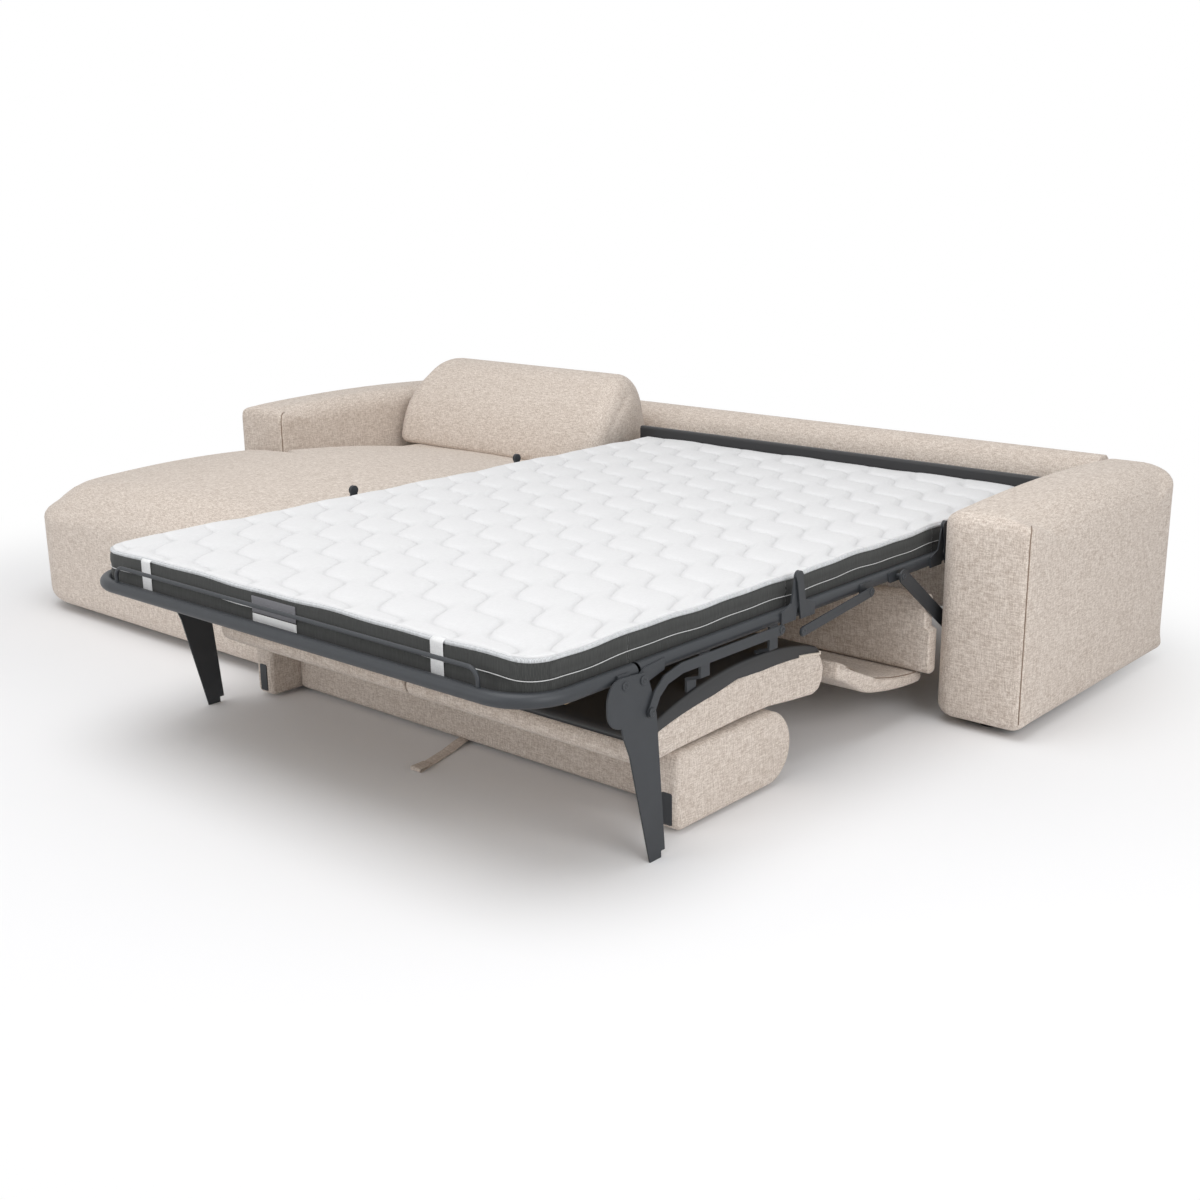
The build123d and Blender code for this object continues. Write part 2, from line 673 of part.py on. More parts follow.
def pan_height(y):
    """Height of the pan's underside, on the arc through its three points."""
    (ay, az), (by, bz), (cy, cz) = pan_front, pan_mid, pan_rear
    p, q = by - ay, bz - az
    u, v = cy - ay, cz - az
    k = 2 * (p * v - q * u)
    oy = (v * (p * p + q * q) - q * (u * u + v * v)) / k
    oz = (p * (u * u + v * v) - u * (p * p + q * q)) / k
    return az + oz + math.sqrt(oy * oy + oz * oz - (y - ay - oy) ** 2)


def raised(point):
    """The same point on the pan's upper side."""
    return (point[0], point[1] + pan_thick)


with BuildPart() as seat_pan:
    with BuildSketch(Plane.YZ.offset(bed_x - seat_half)):
        with BuildLine():
            top = ThreePointArc(raised(pan_front), raised(pan_mid), raised(pan_rear))
            low = ThreePointArc(pan_front, pan_mid, pan_rear)
            Line(top @ 0, low @ 0)
            Line(top @ 1, low @ 1)
        make_face()
    extrude(amount=2 * seat_half)


def seat_outline():
    """Side outline of a seat cushion, thin at the front and full at the rear."""
    under = ThreePointArc(pan_front, pan_mid, pan_rear)
    nose = ThreePointArc(under @ 1, (y0 + seat_rear, 215.0), (y0 + seat_rear - 42.0, 168.0))
    face = Spline(nose @ 1, (y0 + 840.0, 176.0), (y0 + 650.0, 204.0), (y0 + 440.0, 205.0),
                  (y0 + seat_front + 26.0, 180.0))
    ThreePointArc(face @ 1, (y0 + seat_front, 202.0), under @ 0)


with BuildPart() as seat_cushion_right:
    with BuildSketch(Plane.YZ.offset(bed_x + seat_split / 2)):
        with BuildLine():
            seat_outline()
        make_face()
    extrude(amount=seat_half - seat_split / 2)

with BuildPart() as seat_cushion_left:
    with BuildSketch(Plane.YZ.offset(bed_x - seat_half)):
        with BuildLine():
            seat_outline()
        make_face()
    extrude(amount=seat_half - seat_split / 2)

# Bent brackets from the side rails down to the pan
bracket_wide = 30.0
bracket_places = (220.0, 460.0)     # behind the fold of the front section
bracket_reach = 35.0
bracket_step = 12.0
bracket_drop = 70.0             # bend below the rails' centre
bracket_bend = tube_height - bracket_drop

with BuildPart() as seat_brackets:
    for place in bracket_places:
        near = end_fold + place - bracket_wide / 2
        foot = max(pan_height(near), pan_height(near + bracket_wide)) + pan_thick + 0.1
        with BuildSketch(Plane.XZ.offset(-near)):
            with BuildLine():
                Polyline((tube_x - 3.0, tube_height - tube / 2), (tube_x + 3.0, tube_height - tube / 2),
                         (tube_x + 3.0, bracket_bend),
                         (tube_x + 3.0 - bracket_reach, bracket_bend - bracket_step),
                         (tube_x + 3.0 - bracket_reach, foot), (tube_x - 3.0 - bracket_reach, foot),
                         (tube_x - 3.0 - bracket_reach, bracket_bend - bracket_step + 5.0),
                         (tube_x - 3.0, bracket_bend + 5.0), close=True)
            make_face()
        extrude(amount=-bracket_wide)
    mirror(about=middle_plane)

# Backrest under the seat: rounded rear, solid ends, hollow front between them
backrest_half = mattress_width / 2 + 10.0
backrest_pivot = (y0 + backrest_pivot_y, backrest_pivot_z)
rod_radius = 6.0

with BuildPart() as backrest:
    with BuildSketch(Plane.YZ.offset(bed_x - backrest_half)):
        with BuildLine():
            edge = Polyline((y0 + backrest_rear - 85.0, backrest_low), (y0 + backrest_front, backrest_low),
                            (y0 + backrest_front, backrest_top), (y0 + backrest_rear - 105.0, backrest_top))
            ThreePointArc(edge @ 1, (y0 + backrest_rear, (backrest_low + backrest_top) / 2 - 4.0), edge @ 0)
        make_face()
    extrude(amount=2 * backrest_half)
    fillet(backrest.edges().filter_by(Axis.X).group_by(Axis.Y)[0], 10.0)
    with Locations((bed_x, y0 + backrest_front, backrest_low)):
        Box(2 * (backrest_half - cheek), recess, backrest_top - backrest_low,
            align=(Align.CENTER, Align.MIN, Align.MIN), mode=Mode.SUBTRACT)
    with BuildSketch(Plane.YZ.offset(bed_x - backrest_half + cheek / 2)):
        with Locations(backrest_pivot):
            Circle(rod_radius)
    extrude(amount=2 * backrest_half - cheek, mode=Mode.SUBTRACT)

# Flat pull strap sewn under the backrest, reaching forward over the floor
strap_wide = 34.0
strap_thick = 2.0
strap_long = 190.0
strap_sewn = 25.0
strap_x = bed_x - 12.0

with BuildPart() as pull_strap:
    with Locations((strap_x, y0 + backrest_front + recess + strap_sewn, backrest_low)):
        Box(strap_wide, strap_long + strap_sewn, strap_thick, align=(Align.CENTER, Align.MAX, Align.MAX))

# Backrest hinge: a rod from end to end, held by a hanger between the two seat cushions
hanger_thick = 4.0
hanger_wide = 50.0
hanger_eye = 13.0

with BuildPart() as backrest_rod:
    with BuildSketch(Plane.YZ.offset(bed_x - backrest_half + cheek / 2)):
        with Locations(backrest_pivot):
            Circle(rod_radius)
    extrude(amount=2 * backrest_half - cheek)

with BuildPart() as backrest_hanger:
    with BuildSketch(Plane.YZ.offset(bed_x - hanger_thick / 2)):
        with BuildLine():
            near = backrest_pivot[0] - hanger_wide / 2
            far = backrest_pivot[0] + hanger_wide / 2
            Polyline((near, pan_height(near)), (far, pan_height(far)),
                     (backrest_pivot[0] + hanger_eye, backrest_pivot[1]),
                     (backrest_pivot[0] - hanger_eye, backrest_pivot[1]), close=True)
        make_face()
        with Locations(backrest_pivot):
            Circle(hanger_eye)
            Circle(rod_radius + pin_clearance, mode=Mode.SUBTRACT)
    extrude(amount=hanger_thick)

# Apron behind the seat, on a knuckle hinge along the rear edge of the pan
apron_knee = 125.0              # straight part under the hinge leaves
apron_knee_drop = 72.0
apron_drop = 122.0
apron_bow = 8.0                 # hollow of the curved part
apron_lip = 32.0                # thickness at the tail
apron_spread = 24.0             # past each side of the mattress
apron_half = mattress_width / 2 + apron_spread
apron_pivot = (y0 + apron_pivot_y, apron_pivot_z)
apron_head = (y0 + apron_front, apron_pivot_z - 6.0)
apron_tail = (y0 + apron_rear, apron_pivot_z - 6.0 - apron_drop)
apron_slope = -apron_knee_drop / apron_knee
apron_bend = (apron_head[0] + apron_knee, apron_head[1] - apron_knee_drop)
apron_sag = ((apron_bend[0] + apron_tail[0]) / 2, (apron_bend[1] + apron_tail[1]) / 2 - apron_bow)
knuckle_radius = 7.0
knuckle_bore = 3.5
knuckle_long = 120.0
knuckle_pitch = 160.0
leaf_long = 60.0
leaf_thick = 3.0

with BuildPart() as apron:
    with BuildSketch(Plane.YZ.offset(bed_x - apron_half)):
        with BuildLine():
            Line(apron_head, apron_bend)
            ThreePointArc(apron_bend, apron_sag, apron_tail)
            Line(apron_tail, (apron_tail[0], apron_tail[1] - apron_lip))
            ThreePointArc((apron_tail[0], apron_tail[1] - apron_lip),
                          (apron_sag[0], apron_sag[1] - (apron_lip + apron_thick) / 2),
                          (apron_bend[0], apron_bend[1] - apron_thick))
            Polyline((apron_bend[0], apron_bend[1] - apron_thick),
                     (apron_head[0], apron_head[1] - apron_thick), apron_head)
        make_face()
        fillet(vertices().group_by(Axis.Y)[0] + vertices().group_by(Axis.Y)[-1], 6.0)
    extrude(amount=2 * apron_half)

with BuildPart() as apron_hinge:
    for offset_x in (-1.5 * knuckle_pitch, 1.5 * knuckle_pitch):
        with BuildSketch(Plane.YZ.offset(bed_x + offset_x - knuckle_long / 2)):
            with BuildLine():
                Polyline(pan_rear, raised(pan_rear), (apron_pivot[0], apron_pivot[1] + knuckle_radius),
                         (apron_pivot[0] - knuckle_radius, apron_pivot[1]), close=True)
            make_face()
            with Locations(apron_pivot):
                Circle(knuckle_radius)
        extrude(amount=knuckle_long)
    with BuildSketch(Plane.YZ.offset(bed_x - 1.5 * knuckle_pitch)):
        with Locations(apron_pivot):
            Circle(knuckle_bore)
    extrude(amount=3 * knuckle_pitch)

with BuildPart() as apron_leaf:
    for offset_x in (-0.5 * knuckle_pitch, 0.5 * knuckle_pitch):
        with BuildSketch(Plane.YZ.offset(bed_x + offset_x - knuckle_long / 2)):
            with BuildLine():
                tip = apron_head[0] + leaf_long
                Polyline((apron_pivot[0], apron_pivot[1] + knuckle_radius),
                         (tip, apron_head[1] + apron_slope * leaf_long + leaf_thick),
                         (tip, apron_head[1] + apron_slope * leaf_long),
                         (apron_head[0] + 6.0, apron_head[1] + apron_slope * 6.0),
                         (apron_pivot[0] + 3.0, apron_pivot[1]), close=True)
            make_face()
            with Locations(apron_pivot):
                Circle(knuckle_radius)
                Circle(knuckle_bore + pin_clearance, mode=Mode.SUBTRACT)
        extrude(amount=knuckle_long)

# Glides under everything that stands on the floor
with BuildPart() as glides:
    arm_rows = (arm_front + 90.0, arm_rear - 90.0)
    places = [(x, y0 + row, 0) for x in (bay_right + arm_width / 2, left_arm_centre) for row in arm_rows]
    places += [(x, y0 + row, 0) for x in (back_left + 150.0, bay_left - 150.0)
               for row in (chaise_front + 160.0, back_front - 160.0)]
    places += [(x, y0 + (back_front + back_rear) / 2, 0) for x in (back_left + 500.0, bed_x)]
    with Locations(*places):
        Cylinder(glide_radius, glide_height, align=(Align.CENTER, Align.CENTER, Align.MIN))

# One file for each piece
right_arm_cover.part.label = "right_arm_cover"
export_step(right_arm_cover.part, "parts/right_arm_cover.step")
right_arm_frame.part.label = "right_arm_frame"
export_step(right_arm_frame.part, "parts/right_arm_frame.step")
left_arm_cover.part.label = "left_arm_cover"
export_step(left_arm_cover.part, "parts/left_arm_cover.step")
left_arm_frame.part.label = "left_arm_frame"
export_step(left_arm_frame.part, "parts/left_arm_frame.step")
back_cover.part.label = "back_cover"
export_step(back_cover.part, "parts/back_cover.step")
back_frame.part.label = "back_frame"
export_step(back_frame.part, "parts/back_frame.step")
chaise_cover.part.label = "chaise_cover"
export_step(chaise_cover.part, "parts/chaise_cover.step")
chaise_frame.part.label = "chaise_frame"
export_step(chaise_frame.part, "parts/chaise_frame.step")
chaise_back_cushion.part.label = "chaise_back_cushion"
export_step(chaise_back_cushion.part, "parts/chaise_back_cushion.step")
bay_front_panel.part.label = "bay_front_panel"
export_step(bay_front_panel.part, "parts/bay_front_panel.step")
bay_side_plates.part.label = "bay_side_plates"
export_step(bay_side_plates.part, "parts/bay_side_plates.step")
swing_arms.part.label = "swing_arms"
export_step(swing_arms.part, "parts/swing_arms.step")
mid_side_rails.part.label = "mid_side_rails"
export_step(mid_side_rails.part, "parts/mid_side_rails.step")
mid_slats.part.label = "mid_slats"
export_step(mid_slats.part, "parts/mid_slats.step")
mid_mattress.part.label = "mid_mattress"
export_step(mid_mattress.part, "parts/mid_mattress.step")
mid_hinge_plates.part.label = "mid_hinge_plates"
export_step(mid_hinge_plates.part, "parts/mid_hinge_plates.step")
mid_pivot_pins.part.label = "mid_pivot_pins"
export_step(mid_pivot_pins.part, "parts/mid_pivot_pins.step")
mid_rear_ears.part.label = "mid_rear_ears"
export_step(mid_rear_ears.part, "parts/mid_rear_ears.step")
head_side_rails.part.label = "head_side_rails"
export_step(head_side_rails.part, "parts/head_side_rails.step")
head_slats.part.label = "head_slats"
export_step(head_slats.part, "parts/head_slats.step")
head_mattress.part.label = "head_mattress"
export_step(head_mattress.part, "parts/head_mattress.step")
head_rail.part.label = "head_rail"
export_step(head_rail.part, "parts/head_rail.step")
head_hinge_plates.part.label = "head_hinge_plates"
export_step(head_hinge_plates.part, "parts/head_hinge_plates.step")
foot_side_rails.part.label = "foot_side_rails"
export_step(foot_side_rails.part, "parts/foot_side_rails.step")
foot_slats.part.label = "foot_slats"
export_step(foot_slats.part, "parts/foot_slats.step")
foot_mattress.part.label = "foot_mattress"
export_step(foot_mattress.part, "parts/foot_mattress.step")
foot_hinge_plates.part.label = "foot_hinge_plates"
export_step(foot_hinge_plates.part, "parts/foot_hinge_plates.step")
foot_leg_pivots.part.label = "foot_leg_pivots"
export_step(foot_leg_pivots.part, "parts/foot_leg_pivots.step")
front_rail.part.label = "front_rail"
export_step(front_rail.part, "parts/front_rail.step")
mattress_hoop.part.label = "mattress_hoop"
export_step(mattress_hoop.part, "parts/mattress_hoop.step")
end_slats.part.label = "end_slats"
export_step(end_slats.part, "parts/end_slats.step")
end_mattress.part.label = "end_mattress"
export_step(end_mattress.part, "parts/end_mattress.step")
legs.part.label = "legs"
export_step(legs.part, "parts/legs.step")
mattress_straps.part.label = "mattress_straps"
export_step(mattress_straps.part, "parts/mattress_straps.step")
control_bars.part.label = "control_bars"
export_step(control_bars.part, "parts/control_bars.step")
link_bars.part.label = "link_bars"
export_step(link_bars.part, "parts/link_bars.step")
seat_pan.part.label = "seat_pan"
export_step(seat_pan.part, "parts/seat_pan.step")
seat_cushion_right.part.label = "seat_cushion_right"
export_step(seat_cushion_right.part, "parts/seat_cushion_right.step")
seat_cushion_left.part.label = "seat_cushion_left"
export_step(seat_cushion_left.part, "parts/seat_cushion_left.step")
seat_brackets.part.label = "seat_brackets"
export_step(seat_brackets.part, "parts/seat_brackets.step")
backrest.part.label = "backrest"
export_step(backrest.part, "parts/backrest.step")
backrest_rod.part.label = "backrest_rod"
export_step(backrest_rod.part, "parts/backrest_rod.step")
backrest_hanger.part.label = "backrest_hanger"
export_step(backrest_hanger.part, "parts/backrest_hanger.step")
pull_strap.part.label = "pull_strap"
export_step(pull_strap.part, "parts/pull_strap.step")
apron.part.label = "apron"
export_step(apron.part, "parts/apron.step")
apron_hinge.part.label = "apron_hinge"
export_step(apron_hinge.part, "parts/apron_hinge.step")
apron_leaf.part.label = "apron_leaf"
export_step(apron_leaf.part, "parts/apron_leaf.step")
glides.part.label = "glides"
export_step(glides.part, "parts/glides.step")
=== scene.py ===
"""Corner sofa with its fold-out bed open: soft pieces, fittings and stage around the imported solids."""
import json
import math

import bpy
import numpy as np
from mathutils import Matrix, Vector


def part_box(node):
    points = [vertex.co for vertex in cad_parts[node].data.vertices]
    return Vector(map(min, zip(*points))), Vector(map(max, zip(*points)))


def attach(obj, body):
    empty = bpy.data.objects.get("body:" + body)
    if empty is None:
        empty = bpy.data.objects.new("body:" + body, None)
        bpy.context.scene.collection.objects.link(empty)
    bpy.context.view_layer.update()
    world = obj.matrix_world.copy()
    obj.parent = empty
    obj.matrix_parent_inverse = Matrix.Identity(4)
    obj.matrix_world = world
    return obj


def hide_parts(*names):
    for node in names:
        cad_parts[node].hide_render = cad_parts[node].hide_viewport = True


bl_info = {
    "name": "Corner sofa bed",
    "version": (1, 0, 0),
    "blender": (4, 5, 0),
    "location": "View3D > Sidebar > Sofa",
    "description": "Builds the soft pieces, finishes and stage of a corner sofa with an open bed",
    "category": "Object",
}

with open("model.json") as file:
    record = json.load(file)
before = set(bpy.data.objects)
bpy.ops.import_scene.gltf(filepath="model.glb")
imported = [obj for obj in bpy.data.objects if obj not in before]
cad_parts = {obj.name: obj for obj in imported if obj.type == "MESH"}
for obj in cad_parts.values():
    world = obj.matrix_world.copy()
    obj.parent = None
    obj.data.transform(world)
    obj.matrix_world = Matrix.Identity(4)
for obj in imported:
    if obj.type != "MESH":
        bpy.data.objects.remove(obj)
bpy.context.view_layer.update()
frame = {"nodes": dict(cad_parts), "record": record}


def node_box(name):
    """Lowest and highest corner of a solid as two arrays."""
    low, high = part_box(name)
    return np.array(low), np.array(high)


def unit(vectors):
    """The vectors, one to a row, at length one."""
    return vectors / np.linalg.norm(vectors, axis=-1, keepdims=True)


def line(*parts):
    """Points from their two or three coordinates, any of which may be one number for all of them."""
    return np.stack(np.broadcast_arrays(*parts), -1)


def sizes():
    """The sizes as they stand in the scene."""
    return bpy.context.scene.sofa_sizes


# Places shared by several pieces, read from the solids
MATTRESS_LOW, MATTRESS_HIGH = node_box("end_mattress")
FRONT_Y = MATTRESS_LOW[1]
REAR_Y = node_box("head_mattress")[1][1]
BED_X = (MATTRESS_LOW[0] + MATTRESS_HIGH[0]) / 2
BED_TOP = MATTRESS_HIGH[2]
BED_HALF = (MATTRESS_HIGH[0] - MATTRESS_LOW[0]) / 2
# Rings of a padded piece's end faces and rounded edges, rings along an arm, sides of a tube
CAP_RINGS, EDGE_RINGS, ARM_STATIONS, TUBE_SIDES = 11, 9, 8, 8
# Quilted top: row spacing, columns, distance behind the tape, edge rounding, and what its material reads to
# paint shade into the creases of the sewn lines
QUILT_ROW, QUILT_COLUMNS, QUILT_INSET, QUILT_EDGE = 0.0045, 320, 0.004, 0.006
SEWN_ATTRIBUTES = ("sewn_place", "sewn_spread")
# Distances from the outer edge within which the quilting fades out and the rim follows the band's waves,
# and the share of those waves that it takes
QUILT_CALM, QUILT_RIM, BAND_FOLLOW = 0.038, 0.045, 0.6
# Radius of a sewn line, and the gap between the seat's pan and what lies on it
SEAM_RADIUS, PAN_GAP = 0.0016, 0.0005


def srgb(red, green, blue):
    """A display colour, 0 to 255, as linear light."""
    c = np.array([red, green, blue]) / 255.0
    return tuple(np.where(c <= 0.04045, c / 12.92, ((c + 0.055) / 1.055) ** 2.4))


# Sizes and colours that a user would change


class SofaSizes(bpy.types.PropertyGroup):
    """Sizes of the soft pieces"""
    arm_edge: bpy.props.FloatProperty(
        name="Arm edge", description="Rounding along the long edges of the arms",
        default=0.046, min=0.01, max=0.1, unit="LENGTH")
    seat_edge: bpy.props.FloatProperty(
        name="Seat edge", description="Rounding of the seat cushions' ends",
        default=0.008, min=0.004, max=0.04, unit="LENGTH")
    cushion_edge: bpy.props.FloatProperty(
        name="Cushion edge", description="Rounding of the loose back cushion's ends",
        default=0.06, min=0.02, max=0.12, unit="LENGTH")
    chaise_edge: bpy.props.FloatProperty(
        name="Chaise edge", description="Rounding of the chaise's top edge",
        default=0.15, min=0.03, max=0.2, unit="LENGTH")
    quilt_pitch: bpy.props.FloatProperty(
        name="Quilt pitch", description="Distance from one quilting line to the next along the bed",
        default=0.1157, min=0.05, max=0.2, unit="LENGTH")
    quilt_wave: bpy.props.FloatProperty(
        name="Quilt wave", description="Length of one wave of a quilting line",
        default=0.1923, min=0.06, max=0.3, unit="LENGTH")
    quilt_swing: bpy.props.FloatProperty(
        name="Quilt swing", description="How far a quilting line swings to each side",
        default=0.0196, min=0.0, max=0.04, unit="LENGTH")
    quilt_depth: bpy.props.FloatProperty(
        name="Quilt depth", description="Depth of the sewn lines below the crowns",
        default=0.0115, min=0.0, max=0.02, unit="LENGTH")
    welt_radius: bpy.props.FloatProperty(
        name="Welt radius", description="Radius of the piping",
        default=0.0028, min=0.001, max=0.006, unit="LENGTH")


class SofaColours(bpy.types.PropertyGroup):
    """Colours of the finishes"""
    thread_pale: bpy.props.FloatVectorProperty(
        name="Pale thread", description="Lighter thread of the upholstery", subtype="COLOR",
        default=srgb(226, 216, 206), min=0.0, max=1.0)
    thread_dark: bpy.props.FloatVectorProperty(
        name="Dark thread", description="Darker thread of the upholstery", subtype="COLOR",
        default=srgb(180, 165, 153), min=0.0, max=1.0)
    ticking: bpy.props.FloatVectorProperty(
        name="Ticking", description="Quilted top of the mattress", subtype="COLOR",
        default=srgb(226, 226, 227), min=0.0, max=1.0)
    band: bpy.props.FloatVectorProperty(
        name="Side band", description="Side band of the mattress", subtype="COLOR",
        default=srgb(62, 63, 62), min=0.0, max=1.0)
    steel: bpy.props.FloatVectorProperty(
        name="Steel", description="Powder coat of the bed frame", subtype="COLOR",
        default=srgb(52, 55, 59), min=0.0, max=1.0)
    leatherette: bpy.props.FloatVectorProperty(
        name="Leatherette", description="Underside of the seat", subtype="COLOR",
        default=srgb(40, 41, 43), min=0.0, max=1.0)


# Outlines: closed loops of points in a plane


def rounded_loop(corners, radii, count):
    """A polygon whose corners are arcs, as points evenly spaced along its length.

    Each corner is cut back by radius / tan(half angle) along both sides, and a circular arc joins the cuts.
    """
    corners = np.asarray(corners, float)
    arcs = []
    for corner, before, after, radius in zip(corners, np.roll(corners, 1, 0), np.roll(corners, -1, 0), radii):
        back, ahead = unit(before - corner), unit(after - corner)
        half = math.acos(float(np.clip(back @ ahead, -1, 1))) / 2
        cut = radius / math.tan(half)
        centre = corner + unit(back + ahead) * (radius / math.sin(half))
        start, stop = corner + back * cut - centre, corner + ahead * cut - centre
        first = math.atan2(start[1], start[0])
        turn = (math.atan2(stop[1], stop[0]) - first + math.pi) % (2 * math.pi) - math.pi
        angle = first + turn * np.linspace(0, 1, 13)
        arcs.append(centre + radius * line(np.cos(angle), np.sin(angle)))
    return even_loop(np.concatenate(arcs), count)


def box_loop(low, high, radii, count):
    """A rectangle from its lowest corner to its highest, with a radius for each corner in turn."""
    return rounded_loop([low, (high[0], low[1]), high, (low[0], high[1])], radii, count)


def even_loop(points, count):
    """The same closed loop through points at equal steps of its length."""
    closed = np.vstack([points, points[:1]])
    along = np.concatenate([[0], np.cumsum(np.linalg.norm(np.diff(closed, axis=0), axis=1))])
    places = np.linspace(0, along[-1], count, endpoint=False)
    return np.stack([np.interp(places, along, closed[:, k]) for k in range(2)], 1)


def smooth_loop(points, count, reach):
    """A closed loop at equal steps, its corners eased by averaging twice over a length of reach."""
    loop = even_loop(np.asarray(points, float), count)
    step = np.linalg.norm(loop - np.roll(loop, 1, 0), axis=1).mean()
    half = max(1, int(reach / step / 2))
    for _ in range(2):
        loop = np.mean([np.roll(loop, k, 0) for k in range(-half, half + 1)], axis=0)
    return loop


def circle_through(points):
    """Centre and radius of the circle through three points p: the centre c solves 2 p . c + k = p . p."""
    p = np.array(points, float)
    c = np.linalg.solve(np.column_stack([2 * p, np.ones(3)]), (p ** 2).sum(1))[:2]
    return c, np.linalg.norm(p[0] - c)


def arc_through(first, middle, last, count=24):
    """Points on the circle through three points, from the first to the last by way of the middle one."""
    c, radius = circle_through((first, middle, last))
    p = np.array([first, middle, last], float) - c
    angle = np.unwrap(np.arctan2(p[:, 1], p[:, 0]))
    turn = np.interp(np.linspace(0, 2, count), [0, 1, 2], angle)
    return c + radius * line(np.cos(turn), np.sin(turn))


def loop_normals(loop):
    """Outward normals of a loop, from the tangent turned by a quarter."""
    tangent = np.roll(loop, -1, 0) - np.roll(loop, 1, 0)
    normal = unit(line(tangent[:, 1], -tangent[:, 0]))
    area = np.sum(loop[:, 0] * np.roll(loop[:, 1], -1) - np.roll(loop[:, 0], -1) * loop[:, 1])
    return normal if area > 0 else -normal


def padded_rings(loop, low, high, edge, crown=0.0, stations=14, caps=CAP_RINGS, centre=None):
    """Rings of a padded prism: a loop carried from low to high, with rounded ends and crowned end faces.

    An edge of radius r is the quarter circle inset = r * (1 - sin a), height = r * (1 - cos a); the radius
    is one number, or one for each point of the loop, or a pair of these for the two ends.  With a centre
    given, insets go towards it, so that a deep edge can't fold over itself.  The end faces rise by crown
    from rim to middle.  Result: rings x points x (loop first, loop second, along), and the two poles.
    """
    normal = loop_normals(loop)
    ends = edge if isinstance(edge, tuple) else (edge, edge)
    first, last = (np.minimum(np.broadcast_to(e, len(loop)), 0.49 * (high - low)) for e in ends)
    if centre is None:
        centre = loop.mean(0)
    else:
        reach = np.linalg.norm(loop - centre, axis=1)
        aim = (loop - centre) / reach[:, None]
        lean = np.clip(np.sum(aim * normal, axis=1), 0.45, 1.0)
        normal = aim * np.minimum(1.0 / lean, 0.6 * reach / np.maximum(first, last))[:, None]
    share = np.linspace(0, 1, caps + 2)[1:-1]
    angle = np.linspace(0, math.pi / 2, EDGE_RINGS)[:, None]
    middle = np.linspace(0, 1, stations)[1:-1, None]
    start, stop = low + crown + first, high - crown - last
    inset = np.concatenate([first * (1 - np.sin(angle)), 0 * middle * first,
                            (last * (1 - np.sin(angle)))[::-1]])
    along = np.concatenate([low + crown + first * (1 - np.cos(angle)), start + (stop - start) * middle,
                            (high - crown - last * (1 - np.cos(angle)))[::-1]])
    body = loop[None] - normal[None] * inset[..., None]
    near, far = (centre + (loop - normal * e[:, None] - centre)[None] * share[:, None, None]
                 for e in (first, last))
    flat = np.concatenate([near, body, far[::-1]])
    fall, drop = (crown * face_fall(face, loop, centre, share) for face in (near, far))
    height = np.concatenate([low + fall, along, (high - drop)[::-1]])
    poles = np.array([[*centre, low], [*centre, high]])
    return np.concatenate([flat, height[..., None]], 2), poles


def face_fall(face, rim, centre, share):
    """How far an end face has fallen from its crown, 0 at the middle and 1 at the rim.

    1 - (1 - u u)(1 - v v) with u and v across the rim's box, eased to 1 at the rim by the fourth power of
    the share, so that no crease runs out to the corners.
    """
    half = np.maximum(rim.max(0) - centre, centre - rim.min(0))
    across = np.clip(1 - ((face - centre) / half) ** 2, 0, 1).prod(-1)
    ease = (share ** 4)[:, None]
    return ease + (1 - ease) * (1 - across)


def oriented(points, axis):
    """Points given as (first, second, along) put into x, y, z for a prism along that axis."""
    order = {"X": (2, 0, 1), "Y": (0, 2, 1), "Z": (0, 1, 2)}[axis]
    return np.stack([points[..., k] for k in order], -1)


# Meshes


def new_object(name, points, faces):
    """A smooth-shaded mesh object in the scene."""
    mesh = bpy.data.meshes.new(name)
    mesh.from_pydata(np.asarray(points, float).tolist(), [], faces)
    mesh.update()
    mesh.polygons.foreach_set("use_smooth", np.full(len(mesh.polygons), True))
    piece = bpy.data.objects.new(name, mesh)
    bpy.context.scene.collection.objects.link(piece)
    return piece


def grid_faces(rows, columns, wrap=False):
    """Quads of a grid of rows x columns points, closed across the columns if wrap is set."""
    row, column = np.meshgrid(np.arange(rows - 1), np.arange(columns if wrap else columns - 1), indexing="ij")
    right = (column + 1) % columns
    quads = np.stack([row * columns + column, row * columns + right,
                      (row + 1) * columns + right, (row + 1) * columns + column], -1)
    return quads.reshape(-1, 4).tolist()


def outward(points, faces):
    """The faces, turned round if the closed surface they make encloses a negative volume."""
    corner = np.array([f[:3] for f in faces])
    a, b, c = (points[corner[:, k]] for k in range(3))
    volume = np.einsum("ij,ij->i", a - points.mean(0), np.cross(b - a, c - a)).sum()
    return faces if volume > 0 else [f[::-1] for f in faces]


def closed_mesh(name, rings, poles):
    """A closed surface from rings of points and a pole at each end."""
    count, around = rings.shape[:2]
    points = np.concatenate([rings.reshape(-1, 3), poles])
    faces = grid_faces(count, around, wrap=True)
    near, far = count * around, count * around + 1
    turn = np.arange(around)
    after = (turn + 1) % around
    faces += line(near, after, turn).tolist()
    last = (count - 1) * around
    faces += line(far, last + turn, last + after).tolist()
    return new_object(name, points, outward(points, faces))


def padded_piece(name, loop, low, high, edge, axis="X", body="base", node=None, slot="upholstery",
                 finish="upholstery", fill=0.9, shape=None, **form):
    """A padded prism with its finish, its body and the solid that it stands for.

    A shape is a function that moves points in place.
    """
    rings, poles = padded_rings(loop, low, high, edge, **form)
    rings, poles = oriented(rings, axis), oriented(poles, axis)
    if shape:
        shape(rings)
        shape(poles)
    piece = closed_mesh(name, rings, poles)
    dress(piece, finish, body, node)
    return piece


def dress(piece, finish, body, node=None):
    """Give a piece its finish, the body it rides on and the solid that it replaces."""
    piece.data.materials.append(material(finish))
    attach(piece, body)
    if node:
        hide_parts(node)
    return piece


